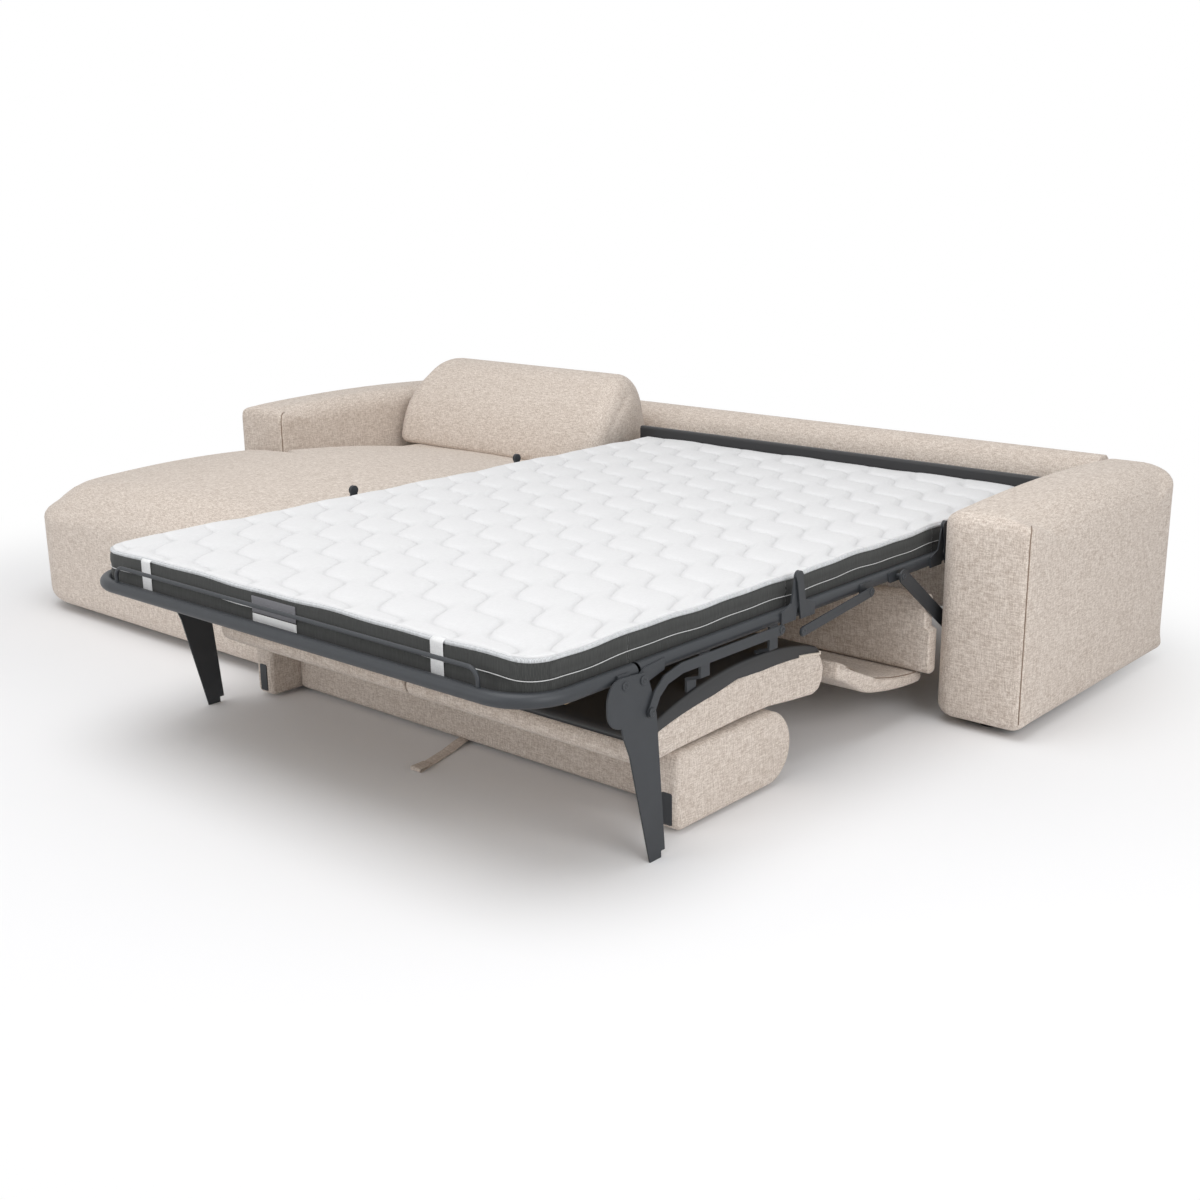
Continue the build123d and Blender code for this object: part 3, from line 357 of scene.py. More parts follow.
def thicken(piece, thickness, offset):
    """Give an open surface a thickness: all of it inside at offset -1, half of it at 0."""
    solidify = piece.modifiers.new("thickness", "SOLIDIFY")
    solidify.thickness, solidify.offset = thickness, offset


def tube_mesh(name, path, radius):
    """A tube: a circle carried along a path, square to its tangent, with ends closed by a pole."""
    tangent = unit(np.gradient(path, axis=0))
    guide = np.where(np.abs(tangent[:, 2:3]) > 0.9, [[1.0, 0.0, 0.0]], [[0.0, 0.0, 1.0]])
    side = unit(np.cross(tangent, guide))
    up = np.cross(side, tangent)
    angle = np.linspace(0, 2 * math.pi, TUBE_SIDES, endpoint=False)[None, :, None]
    rings = path[:, None] + radius * (np.cos(angle) * side[:, None] + np.sin(angle) * up[:, None])
    return closed_mesh(name, rings, path[[0, -1]])


def piping(name, path, radius, finish, body):
    """A seam, welt or tape: a tube with its finish and body."""
    return dress(tube_mesh(name, path, radius), finish, body)


def ribbon_mesh(name, path, across, width, thick):
    """A flat strap: a thin six-sided outline carried along a path, its width lying along across."""
    across = np.asarray(across, float)
    up = unit(np.cross(unit(np.gradient(path, axis=0)), across))
    corner = np.array([[-0.5, 0.0], [-0.46, 0.5], [0.46, 0.5], [0.5, 0.0], [0.46, -0.5], [-0.46, -0.5]])
    rings = path[:, None] + across * width * corner[:, 0:1] + up[:, None] * thick * corner[:, 1:2]
    return closed_mesh(name, rings, path[[0, -1]])


# Shader node groups and materials


def group(name, inputs, outputs):
    """A new shader node group with its named sockets: the tree, its input node and its output node."""
    tree = bpy.data.node_groups.new(name, "ShaderNodeTree")
    for label, kind, value in inputs:
        socket = tree.interface.new_socket(label, in_out="INPUT", socket_type=kind)
        if value is not None:
            socket.default_value = value
    for label in outputs:
        tree.interface.new_socket(label, in_out="OUTPUT", socket_type="NodeSocketFloat")
    return tree, tree.nodes.new("NodeGroupInput"), tree.nodes.new("NodeGroupOutput")


def add(tree, kind, links=(), **values):
    """A node with its settings; links are (socket name or number, source socket or constant)."""
    node = tree.nodes.new(kind)
    for key, value in values.items():
        setattr(node, key, value)
    for socket, source in links:
        if isinstance(source, bpy.types.NodeSocket):
            tree.links.new(source, node.inputs[socket])
        else:
            node.inputs[socket].default_value = source
    return node


def object_place(tree):
    """The place on a piece in its own coordinates."""
    return add(tree, "ShaderNodeTexCoord").outputs["Object"]


def maths(tree, operation, first, second=0.0, clamp=False):
    node = add(tree, "ShaderNodeMath", [(0, first), (1, second)], operation=operation, use_clamp=clamp)
    return node.outputs[0]


def mix_colour(tree, factor, first, second):
    """A colour between two; the mix node's colour sockets are its seventh and eighth."""
    return add(tree, "ShaderNodeMix", [(0, factor), (6, first), (7, second)], data_type="RGBA").outputs[2]


def stretched_noise(tree, place, scale, detail=2.0):
    """Noise drawn out along an axis by scaling the place before it is read."""
    mapped = add(tree, "ShaderNodeMapping", [("Vector", place), ("Scale", scale)]).outputs[0]
    return add(tree, "ShaderNodeTexNoise", [("Vector", mapped), ("Scale", 1.0), ("Detail", detail),
                                            ("Roughness", 0.6)]).outputs[0]


def weave_group():
    """Slubbed cloth: streaks of noise along each axis make the threads, a broad noise clouds them."""
    tree, given, out = group("Slubbed weave", [
        ("Vector", "NodeSocketVector", None), ("Thread", "NodeSocketFloat", 260.0),
        ("Contrast", "NodeSocketFloat", 1.0)], ("Mask", "Height"))
    place = add(tree, "ShaderNodeVectorMath", [
        (0, given.outputs["Vector"]), ("Scale", given.outputs["Thread"])], operation="SCALE").outputs[0]
    along_x, along_y, along_z = (stretched_noise(tree, place, scale) for scale in (
        (0.16, 1.0, 1.0), (1.0, 0.16, 1.0), (1.0, 1.0, 0.16)))
    streak = maths(tree, "ADD", maths(tree, "ADD", along_x, along_y), along_z)
    cloud = stretched_noise(tree, place, (0.09, 0.09, 0.09), detail=3.0)
    mixed = maths(tree, "ADD", maths(tree, "MULTIPLY", maths(tree, "SUBTRACT", streak, 1.5), 1.55),
                  maths(tree, "MULTIPLY", maths(tree, "SUBTRACT", cloud, 0.5), 0.25))
    scaled = maths(tree, "MULTIPLY", mixed, given.outputs["Contrast"])
    tree.links.new(maths(tree, "ADD", scaled, 0.5, clamp=True), out.inputs["Mask"])
    tree.links.new(maths(tree, "MULTIPLY", streak, 0.4), out.inputs["Height"])
    return tree


def grain_group():
    """Mottling for coatings: a broad noise as a colour mask and a fine one as a height."""
    tree, given, out = group("Fine grain", [
        ("Vector", "NodeSocketVector", None), ("Scale", "NodeSocketFloat", 400.0)], ("Mask", "Height"))
    broad = maths(tree, "MULTIPLY", given.outputs["Scale"], 0.03)
    for label, scale, detail in (("Height", given.outputs["Scale"], 3.0), ("Mask", broad, 4.0)):
        noise = add(tree, "ShaderNodeTexNoise", [("Vector", given.outputs["Vector"]), ("Scale", scale),
                                                 ("Detail", detail)])
        tree.links.new(noise.outputs[0], out.inputs[label])
    return tree


GROUP_MAKERS = {"Slubbed weave": weave_group, "Fine grain": grain_group}


def placed_group(tree, name, **values):
    """A node group set into a material, read in the piece's own coordinates."""
    made = bpy.data.node_groups.get(name) or GROUP_MAKERS[name]()
    return add(tree, "ShaderNodeGroup", [("Vector", object_place(tree)), *values.items()], node_tree=made)


def tint(colour):
    """Linear colour from three display numbers, or from the name of one of the colour properties."""
    if isinstance(colour, str):
        return tuple(getattr(bpy.context.scene.sofa_colours, colour))
    return srgb(*colour)


def toned(colour, factor):
    return tuple(min(1.0, factor * part) for part in colour)


def shader(name, colour, roughness, **sockets):
    """A material with a Principled shader; returns the material, its tree and the shader node."""
    made = bpy.data.materials.new(name)
    made.use_nodes = True
    tree = made.node_tree
    bsdf = tree.nodes["Principled BSDF"]
    bsdf.inputs["Base Color"].default_value = (*colour, 1.0)
    bsdf.inputs["Roughness"].default_value = roughness
    for key, value in sockets.items():
        bsdf.inputs[key.replace("_", " ")].default_value = value
    return made, tree, bsdf


def two_tone(tree, bsdf, mask, dark, pale, height, strength, lift):
    """Colour a shader from dark to pale by a mask, and raise it by a height."""
    tree.links.new(mix_colour(tree, mask, (*dark, 1), (*pale, 1)), bsdf.inputs["Base Color"])
    node = add(tree, "ShaderNodeBump", [("Height", height), ("Strength", strength), ("Distance", lift)])
    tree.links.new(node.outputs[0], bsdf.inputs["Normal"])


def cloth(name, pale, dark, thread, contrast, lift=0.0012, sheen=0.12):
    """Woven cloth of two threads."""
    pale, dark = tint(pale), tint(dark) if dark else toned(tint(pale), 0.9)
    made, tree, bsdf = shader(name, pale, 0.92, Sheen_Weight=sheen, Sheen_Roughness=0.5,
                              Specular_IOR_Level=0.2)
    weave = placed_group(tree, "Slubbed weave", Thread=thread, Contrast=contrast)
    two_tone(tree, bsdf, weave.outputs["Mask"], dark, pale, weave.outputs["Height"], 0.55, lift)
    return made


def quilted(name, colour, crease_shade_reach):
    """Knitted ticking with painted shade in the creases of the sewn lines, darkest on a line and fading out
    within the given distance of it.
    """
    made = cloth(name, colour, None, 420.0, 0.5, lift=0.0004, sheen=0.05)
    tree = made.node_tree
    base = tree.nodes["Principled BSDF"].inputs["Base Color"]
    place, spread = (add(tree, "ShaderNodeAttribute", attribute_name=label).outputs["Fac"]
                     for label in SEWN_ATTRIBUTES)
    centred = maths(tree, "SUBTRACT", maths(tree, "FRACT", maths(tree, "ADD", place, 0.5)), 0.5)
    share = maths(tree, "ABSOLUTE", centred)
    off = maths(tree, "DIVIDE", maths(tree, "MULTIPLY", share, spread), crease_shade_reach)
    # near: share of painted crease shade, 0.4 on a sewn line, falling to 0 at the given distance
    near = maths(tree, "MULTIPLY", maths(tree, "SUBTRACT", 1.0, off, clamp=True), 0.4)
    # painted shade: the ticking's colour at 0.8, mixed in along the creases
    shade = (*toned(tint(colour), 0.8), 1)
    tree.links.new(mix_colour(tree, near, base.links[0].from_socket, shade), base)
    return made


def coating(name, colour, roughness, grain, lift, metallic=0.0):
    """A coated or moulded surface: colour mottled by an eighth, fine grain in the normal."""
    colour = tint(colour)
    made, tree, bsdf = shader(name, colour, roughness, Metallic=metallic)
    noise = placed_group(tree, "Fine grain", Scale=grain)
    two_tone(tree, bsdf, noise.outputs["Mask"], toned(colour, 0.88), toned(colour, 1.12),
             noise.outputs["Height"], 0.4, lift)
    return made


def timber(name, pale, dark):
    """Board: rings of noise drawn out along the length."""
    made, tree, bsdf = shader(name, tint(pale), 0.6)
    streak = stretched_noise(tree, object_place(tree), (3.0, 60.0, 60.0), detail=5.0)
    two_tone(tree, bsdf, streak, tint(dark), tint(pale), streak, 0.2, 0.0006)
    return made


def ribbed(name, colour, pitch, lift):
    """Knitted band: fine upright ribs all round, from waves across x and y, broken up by noise."""
    colour = tint(colour)
    made, tree, bsdf = shader(name, colour, 0.85, Sheen_Weight=0.15, Specular_IOR_Level=0.25)
    where = object_place(tree)
    across = add(tree, "ShaderNodeSeparateXYZ", [(0, where)]).outputs
    turn = 2 * math.pi / pitch
    waves = maths(tree, "ADD", *(maths(tree, "SINE", maths(tree, "MULTIPLY", axis, turn))
                                 for axis in across[:2]))
    noise = stretched_noise(tree, where, (220.0, 220.0, 20.0), detail=3.0)
    mask = maths(tree, "ADD", maths(tree, "MULTIPLY", waves, 0.12), noise, clamp=True)
    two_tone(tree, bsdf, mask, toned(colour, 0.62), toned(colour, 1.35), mask, 0.5, lift)
    return made


# Each finish: its maker and the maker's values after the name
FINISHES = {
    "upholstery": (cloth, "thread_pale", "thread_dark", 340.0, 1.1),
    "seam thread": (cloth, (150, 132, 116), (118, 102, 90), 500.0, 0.8),
    "pale welt": (cloth, (228, 218, 205), (205, 193, 180), 700.0, 0.8),
    # the ticking paints shade into the creases of its sewn lines, within 7 mm of them
    "ticking": (quilted, "ticking", 0.007),
    "tape": (ribbed, (196, 198, 200), 0.0035, 0.0009),
    "band": (ribbed, "band", 0.004, 0.0008),
    "stitch": (cloth, (225, 226, 226), (190, 190, 190), 900.0, 0.6),
    "steel": (coating, "steel", 0.48, 900.0, 0.0002, 0.15),
    "dark strip": (coating, (32, 32, 34), 0.5, 700.0, 0.0003),
    "leatherette": (coating, "leatherette", 0.42, 520.0, 0.0004),
    "elastic": (cloth, (240, 240, 240), (214, 215, 216), 900.0, 0.7),
    "label grey": (cloth, (128, 128, 132), (112, 112, 116), 900.0, 0.5),
    "label white": (cloth, (236, 236, 236), (220, 220, 220), 900.0, 0.5),
    "slat": (timber, (214, 186, 146), (186, 152, 110)),
    "board": (timber, (196, 164, 122), (160, 124, 84)),
    "glide": (coating, (30, 30, 31), 0.5, 600.0, 0.0003),
}


def material(name):
    """The material of a finish, made on first use."""
    label = "finish " + name
    maker, *values = FINISHES[name]
    return bpy.data.materials.get(label) or maker(label, *values)


# Sofa: arms, back, chaise, loose cushion


def arm_loop(low, high):
    """Side outline of an arm in y, z: upright front and rear, and a top that is a shallow arc."""
    front, rear, foot, crown = low[1], high[1], low[2], high[2]
    rear_drop, middle_drop, front_drop = 0.018, 0.004, 0.021
    top = arc_through((rear, crown - rear_drop), ((front + rear) / 2, crown - middle_drop),
                      (front, crown - front_drop))
    return smooth_loop(np.concatenate([[(front, foot), (rear, foot)], top]), 240, 0.06)


def arm_edges(loop, side):
    """Rounding along an arm's outline for its left and right end, from the outline's normals.

    The end next to the bed or chaise is even, the outer end is a deep shoulder at the top and rear, and
    the right-hand end is close to a fold along its sewn front corner.
    """
    normal = loop_normals(loop)
    ahead, behind, above = (np.clip(part, 0, 1) ** 2 for part in (-normal[:, 0], normal[:, 0], normal[:, 1]))
    inner = sizes().arm_edge * (1.2 + 0.1 * above)
    outer = sizes().arm_edge * (0.8 + 1.5 * above + 1.0 * behind)
    left, right = (inner, outer) if side == "right" else (outer, inner)
    fold = 0.016
    return left, right - (right - fold) * ahead


def arm_seam(name, rings, normal):
    """A sewn line up an arm's front corner and a little over its top, laid on the right-hand end's edge.

    It follows the middle ring of the rounded edge where the outline faces forward.
    """
    ring = rings[CAP_RINGS + EDGE_RINGS + ARM_STATIONS - 2 + EDGE_RINGS // 2]
    front = np.flatnonzero((normal[:, 0] < -0.45) & (ring[:, 2] > 0.04))
    order = front[np.argsort(ring[front, 2])]
    piping(name, ring[order], SEAM_RADIUS, "seam thread", "base")


class SOFA_OT_arms(bpy.types.Operator):
    """Build both padded arms with their corner seams"""
    bl_idname = "sofa.arms"
    bl_label = "Arms"

    def execute(self, context):
        for side in ("right", "left"):
            low, high = node_box(f"{side}_arm_cover")
            loop = arm_loop(low, high)
            arm = padded_piece(f"{side}_arm", loop, low[0], high[0], arm_edges(loop, side),
                               node=f"{side}_arm_cover", crown=0.004, stations=ARM_STATIONS,
                               centre=((low + high) / 2)[1:])
            points = np.empty(len(arm.data.vertices) * 3)
            arm.data.vertices.foreach_get("co", points)
            rings = points.reshape(-1, 3)[:-2].reshape(-1, len(loop), 3)
            arm_seam(f"{side}_arm_seam", rings, loop_normals(loop))
        return {"FINISHED"}


class SOFA_OT_back(bpy.types.Operator):
    """Build the low padded back and the front panel of the bed bay"""
    bl_idname = "sofa.back"
    bl_label = "Back and panel"

    def execute(self, context):
        low, high = node_box("back_cover")
        loop = box_loop(low[1:], high[1:], (0.02, 0.02, 0.03, 0.08), 90)
        padded_piece("back", loop, low[0] + 0.001, high[0] - 0.001, 0.006, node="back_cover", stations=30)
        low, high = node_box("bay_front_panel")
        foot, top, notch, notch_top = low[2] - 0.033, high[2] - 0.0075, 0.0145, 0.243
        loop = box_loop((low[1], foot), (high[1], top), (0.013, 0.013, 0.016, 0.016), 60)
        middle, half = (low[0] + high[0]) / 2, (high[0] - low[0]) / 2

        def notched(points):
            """Widen the ends below the swing arms: x grows by up to 14.2 mm, over 28 mm near each end."""
            out = np.abs(points[..., 0] - middle) - (half - 0.045)
            below = np.clip((notch_top - points[..., 2]) / 0.004, 0, 1)
            points[..., 0] += np.sign(points[..., 0] - middle) * 0.0142 * np.clip(out / 0.028, 0, 1) * below

        padded_piece("front_panel", loop, low[0] + notch, high[0] - notch, 0.004, node="bay_front_panel",
                     stations=90, shape=notched)
        return {"FINISHED"}


class SOFA_OT_chaise(bpy.types.Operator):
    """Build the crowned chaise and its loose back cushion"""
    bl_idname = "sofa.chaise"
    bl_label = "Chaise"

    def execute(self, context):
        low, high = node_box("chaise_cover")
        arm_low, arm_high = node_box("left_arm_cover")
        inner, front = arm_high[0], arm_low[1]
        corners = [(high[0], low[1]), (high[0], high[1]), (inner, high[1]), (inner, front),
                   (low[0], front), (low[0], low[1])]
        loop = rounded_loop(corners, (0.07, 0.004, 0.004, 0.004, 0.02, 0.2), 260)
        centre = np.array([(inner + high[0]) / 2, front - 0.27])
        side_top, deepest = 0.28, 0.075

        def crowned(points):
            """Dome the top: height falls with the square of the distance from a place well forward."""
            span = (points[..., :2] - centre) * np.array([0.34, 0.35])
            top = np.clip((points[..., 2] - side_top) / 0.12, 0, 1)
            points[..., 2] += (0.003 - np.minimum((span ** 2).sum(-1), deepest)) * top

        padded_piece("chaise", loop, low[2], high[2], (0.045, sizes().chaise_edge), axis="Z",
                     node="chaise_cover", stations=10, caps=26, shape=crowned, centre=centre)
        low, high = node_box("chaise_back_cushion")
        foot, deep, tall = low[2] - 0.075, high[1] - low[1], high[2] - low[2]
        brow = (low[1] + 0.115, high[2] - 0.045)
        face = arc_through((low[1] - 0.02, foot), (low[1] + 0.035, low[2] + 0.42 * tall), brow)
        top = arc_through(brow, (low[1] + 0.24, high[2] + 0.002), (high[1] - 0.04, high[2] - 0.085))
        outline = np.concatenate([face, top[1:], [(high[1], low[2] + 0.03), (high[1], foot)]])
        centre_yz = np.array([(low[1] + high[1]) / 2 + 0.02, low[2] + 0.4 * tall])
        middle = (high[0] + low[0]) / 2

        def drawn_in(points):
            """Draw the ends in towards the top and the rear.

            x shrinks about the middle by 4% of the cube of the height and 20% of the square of the depth.
            """
            rise = np.clip((points[..., 2] - low[2]) / tall, 0, 1)
            back = np.clip((points[..., 1] - low[1]) / deep, 0, 1)
            points[..., 0] = middle + (points[..., 0] - middle) * (1 - 0.04 * rise ** 3 - 0.2 * back ** 2)

        padded_piece("chaise_cushion", smooth_loop(outline, 260, 0.04), low[0], high[0], sizes().cushion_edge,
                     crown=0.014, node="chaise_back_cushion", stations=20, fill=0.8, centre=centre_yz,
                     shape=drawn_in)
        return {"FINISHED"}


# Bed: mattress, seat and backrest under it


def sewn_lines(x, y):
    """Where a place lies between the sewn lines, and how far apart they are there.

    The lines run slantwise over the bed.  With s along the slant and n square to it, one of them is
    n = start + swing * sin(2 pi s / wave + phase), read off as y over x; the others are a pitch apart in y.
    Returns (y - line) / pitch and the pitch over the square root of 1 + slope squared.
    """
    s = sizes()
    slant, start, phase = math.radians(36.1), 0.477, 1.06
    along = np.linspace(-2.5, 2.5, 4000)
    across = start + s.quilt_swing * np.sin(2 * math.pi / s.quilt_wave * along + phase)
    line_x = along * math.cos(slant) + across * math.sin(slant)
    line_y = across * math.cos(slant) - along * math.sin(slant)
    slope = np.interp(x, line_x, np.gradient(line_y, line_x))
    return (y - np.interp(x, line_x, line_y)) / s.quilt_pitch, s.quilt_pitch / np.sqrt(1 + slope ** 2)


def quilting(x, y):
    """Height of the quilted top, zero at the crowns.

    With t the share of the way from a line to the middle between two and d the distance from the line, the
    height falls by 0.4 * depth * (1 - t) ** 2, a low dome, and 0.6 * depth * (1 - d / reach) ** 2, a crease.
    """
    reach = 0.017
    place, spread = sewn_lines(x, y)
    share = np.abs((place + 0.5) % 1.0 - 0.5)
    dome, crease = 1 - 2 * share, np.clip(1 - share * spread / reach, 0, 1)
    return -sizes().quilt_depth * (0.4 * dome ** 2 + 0.6 * crease ** 2)


def round_drop(gap, radius):
    """Drop of a rounded edge at a distance from its rim: r - sqrt(r r - (r - gap)(r - gap)), 0 beyond r."""
    into = np.clip(radius - gap, 0, radius)
    return radius - np.sqrt(np.maximum(radius ** 2 - into ** 2, 0))


def mattress_top(name, body, low, high, corner, seam):
    """Quilted top of one section: a grid over its plan, rounded down at the outer edges.

    The front section has round corners.  On the others the second row lies on the last row of the section
    ahead, at y = seam, and the first row is tucked under that section.  Rows close up towards the ends of
    the front section and columns towards the sides, as sines; outer edges stand QUILT_INSET behind the tape.
    """
    rows, reach = int((high[1] - low[1]) / QUILT_ROW), high[1] - low[1]
    if corner:
        depth = low[1] + reach * (0.5 - 0.5 * np.cos(np.linspace(0, math.pi, rows)))
    else:
        depth = np.concatenate([[seam - 0.0005], np.linspace(seam, high[1], rows - 1)])
    half = (BED_HALF - round_drop(depth - FRONT_Y, corner))[:, None]
    limit = math.pi / 2 * 0.94
    x = half * np.sin(np.linspace(-1, 1, QUILT_COLUMNS) * limit) / math.sin(limit)
    y = np.broadcast_to(depth[:, None], x.shape)
    gap = half - np.abs(x)
    if high[1] > REAR_Y - 0.01:
        gap = np.minimum(gap, high[1] - y)
    x = x * (1 - QUILT_INSET / BED_HALF)
    if corner:
        gap = np.minimum(gap, y - FRONT_Y)
        y = y + QUILT_INSET * (high[1] - y) / reach
    calm = np.clip(gap / QUILT_CALM, 0, 1)
    rim = np.clip(1 - gap / QUILT_RIM, 0, 1) ** 2
    tuck = 0.0 if corner else 0.003 * (y < seam - 0.0002)
    z = BED_TOP + quilting(x, y - FRONT_Y) * calm - round_drop(gap, QUILT_EDGE) - tuck
    z = z + BAND_FOLLOW * rim * band_sag(line(x + BED_X, y))
    piece = new_object(name, line(x + BED_X, y, z).reshape(-1, 3), grid_faces(rows, QUILT_COLUMNS))
    ends = np.empty(2 * len(piece.data.edges), int)
    piece.data.edges.foreach_get("vertices", ends)
    row = ends.reshape(-1, 2) // QUILT_COLUMNS
    sharp = (row[:, 0] == row[:, 1]) & np.isin(row[:, 0], (0, rows - 1) if corner else (0, 1, rows - 1))
    piece.data.attributes.new("sharp_edge", "BOOLEAN", "EDGE").data.foreach_set("value", sharp)
    # the ticking material reads these to paint shade into the creases along the sewn lines
    for label, values in zip(SEWN_ATTRIBUTES, sewn_lines(x, y - FRONT_Y)):
        piece.data.attributes.new(label, "FLOAT", "POINT").data.foreach_set("value", values.ravel())
    thicken(piece, 0.004, -1.0)
    dress(piece, "ticking", body)
    return piece


def band_path(low, high, corner):
    """Plan line of a section's outer sides, from rear left round the front, or two straight sides."""
    left, right = BED_X - BED_HALF, BED_X + BED_HALF
    if not corner:
        y = np.linspace(low[1], high[1], 90)
        return [line(left, y[::-1]), line(right, y)]
    angle = np.linspace(0, math.pi / 2, 16)
    rise, run = corner * (1 - np.sin(angle)), corner * (1 - np.cos(angle))
    sides = np.linspace(high[1], FRONT_Y + corner, 26)
    front = np.linspace(left + corner, right - corner, 170)[1:-1]
    return [np.concatenate([line(left, sides)[:-1], line(left + run, FRONT_Y + rise), line(front, FRONT_Y),
                            line(right - rise, FRONT_Y + run), line(right, sides[::-1])[1:]])]


def plan_normals(path):
    """Normals of a plan line round the bed that point away from the mattress."""
    tangent = unit(np.gradient(path, axis=0))
    normal = line(tangent[:, 1], -tangent[:, 0])
    middle = np.array([BED_X, FRONT_Y + 1.0])
    return normal * np.sign(np.sum(normal * (path - middle), axis=1).mean())


def band_sag(path):
    """Slow waves in the band's edge, as soft ticking has, from three sines along x and y."""
    along = path[..., 0] + 1.3 * path[..., 1]
    return 0.0026 * (np.sin(along * 13.0) + 0.6 * np.sin(along * 29.0 + 1.0) + 0.4 * np.sin(along * 7.0))


# Side band from its foot up: how far each point stands in from the plan line, and how high
BAND_IN = np.array([0.012, 0.004, 0.001, 0.0, 0.0025, 0.0, 0.001, 0.004, 0.012])
BAND_UP = np.array([0.0, 0.003, 0.014, 0.03, 0.045, 0.06, 0.072, 0.082, 0.086])
# Lines along the band: name, inset, height, radius, finish and share of the band's waves
BAND_LINES = (("tape", 0.0036, 0.083, 0.0046, "tape", BAND_FOLLOW),
              ("stitch", -0.0028, 0.046, 0.0009, "stitch", 0.7),
              ("base_tape", 0.006, 0.004, 0.0045, "band", 0.0))


def mattress_band(name, body, low, high, corner):
    """Side band, its tape edges and its stitch line: upright profiles carried along the plan line."""
    for number, path in enumerate(band_path(low, high, corner)):
        normal, sag = plan_normals(path), band_sag(path)
        flat = path[:, None] - normal[:, None] * BAND_IN[None, :, None]
        lift = low[2] + BAND_UP[None] + sag[:, None] * (BAND_UP / BAND_UP[-1])[None] * BAND_FOLLOW
        points = np.concatenate([flat, lift[..., None]], 2).reshape(-1, 3)
        piece = new_object(f"{name}_band_{number}", points, grid_faces(len(path), len(BAND_IN)))
        thicken(piece, 0.006, 0.0)
        dress(piece, "band", body)
        for label, inset, height, radius, finish, follow in BAND_LINES:
            along = np.concatenate([path - normal * inset, (low[2] + height + sag * follow)[:, None]], 1)
            piping(f"{name}_{label}_{number}", along, radius, finish, body)


class SOFA_OT_mattress(bpy.types.Operator):
    """Build the four mattress sections, their bands, tapes and stitch lines"""
    bl_idname = "sofa.mattress"
    bl_label = "Mattress"

    def execute(self, context):
        seam = 0.0
        for part in ("end", "foot", "mid", "head"):
            low, high = node_box(f"{part}_mattress")
            low[1] -= 0.0 if part == "end" else 0.0055
            high[1] += 0.0 if part == "head" else 0.002
            corner, inset, start = (0.06, 0.05, 0.02) if part == "end" else (0.0, 0.008, 0.0)
            body = f"bed_{part}"
            top = mattress_top(f"{part}_quilt", body, low, high, corner, seam)
            seam = high[1]
            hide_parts(f"{part}_mattress")
            mattress_band(part, body, low, high, corner)
            core = box_loop((low[1] + start, low[2] + 0.001), (high[1], high[2] - 0.014), (0.002,) * 4, 40)
            padded_piece(f"{part}_core", core, BED_X - BED_HALF + inset, BED_X + BED_HALF - inset, 0.004,
                         body=body, slot="mattress_cover", finish="band", fill=1.0)
        return {"FINISHED"}


def seat_arc(y):
    """Underside of the pan: the circle through its three points, as height over depth."""
    c, radius = circle_through(np.array([(0.308, 0.226), (0.64, 0.284), (0.948, 0.262)]) + [FRONT_Y, 0])
    return c[1] + np.sqrt(radius ** 2 - (y - c[0]) ** 2)


def seat_loop(count):
    """Side outline of a seat cushion in y, z: arched top under the pan, hollow face, round nose."""
    y = FRONT_Y + np.linspace(0.31, 0.945, 60)
    top = line(y, seat_arc(y) - PAN_GAP)
    face = np.array([
        [0.955, 0.245], [0.962, 0.225], [0.958, 0.196], [0.944, 0.176], [0.92, 0.169], [0.84, 0.1765],
        [0.75, 0.187], [0.65, 0.189], [0.55, 0.1865], [0.44, 0.184], [0.37, 0.1805], [0.326, 0.174],
        [0.308, 0.186], [0.3005, 0.203], [0.303, 0.217]]) + [FRONT_Y, 0]
    return even_loop(np.concatenate([top, face]), count)


class SOFA_OT_seat(bpy.types.Operator):
    """Build the two seat cushions, their dark underside and the piping between"""
    bl_idname = "sofa.seat"
    bl_label = "Seat"

    def execute(self, context):
        for side in ("right", "left"):
            low, high = node_box(f"seat_cushion_{side}")
            padded_piece(f"seat_{side}", seat_loop(200), low[0], high[0], sizes().seat_edge, body="bed_foot",
                         node=f"seat_cushion_{side}", stations=24, fill=0.85)
        low, high = node_box("seat_pan")
        y = np.linspace(low[1] + 0.001, high[1] - 0.001, 80)
        lower = line(y, seat_arc(y) + PAN_GAP)
        bulge = 0.03 * np.clip(np.sin(math.pi * (y - y[0]) / (y[-1] - y[0])), 0, 1) ** 0.3
        upper = line(y, seat_arc(y) + 0.003 + bulge)
        loop = even_loop(np.concatenate([lower, upper[::-1]]), 180)
        padded_piece("seat_underside", loop, low[0], high[0], 0.006, body="bed_foot", node="seat_pan",
                     slot="underside_cloth", finish="leatherette", stations=30, fill=0.6, crown=0.003)
        rim = FRONT_Y + np.linspace(0.86, 0.946, 30)
        left, right = low[0] + 0.002, high[0] - 0.002
        for label, path in (("right", line(right, rim, seat_arc(rim) - PAN_GAP)),
                            ("left", line(left, rim, seat_arc(rim) - PAN_GAP)),
                            ("rear", line(np.linspace(left, right, 60), FRONT_Y + 0.9475, 0.2645))):
            piping(f"seat_welt_{label}", path, sizes().welt_radius, "pale welt", "bed_foot")
        return {"FINISHED"}


def backrest_loop(front, low, high):
    """Side outline of the backrest in y, z: a square front and a fully round rear."""
    return box_loop((front, low[2]), high[1:], (0.016, 0.0825, 0.0865, 0.018), 120)


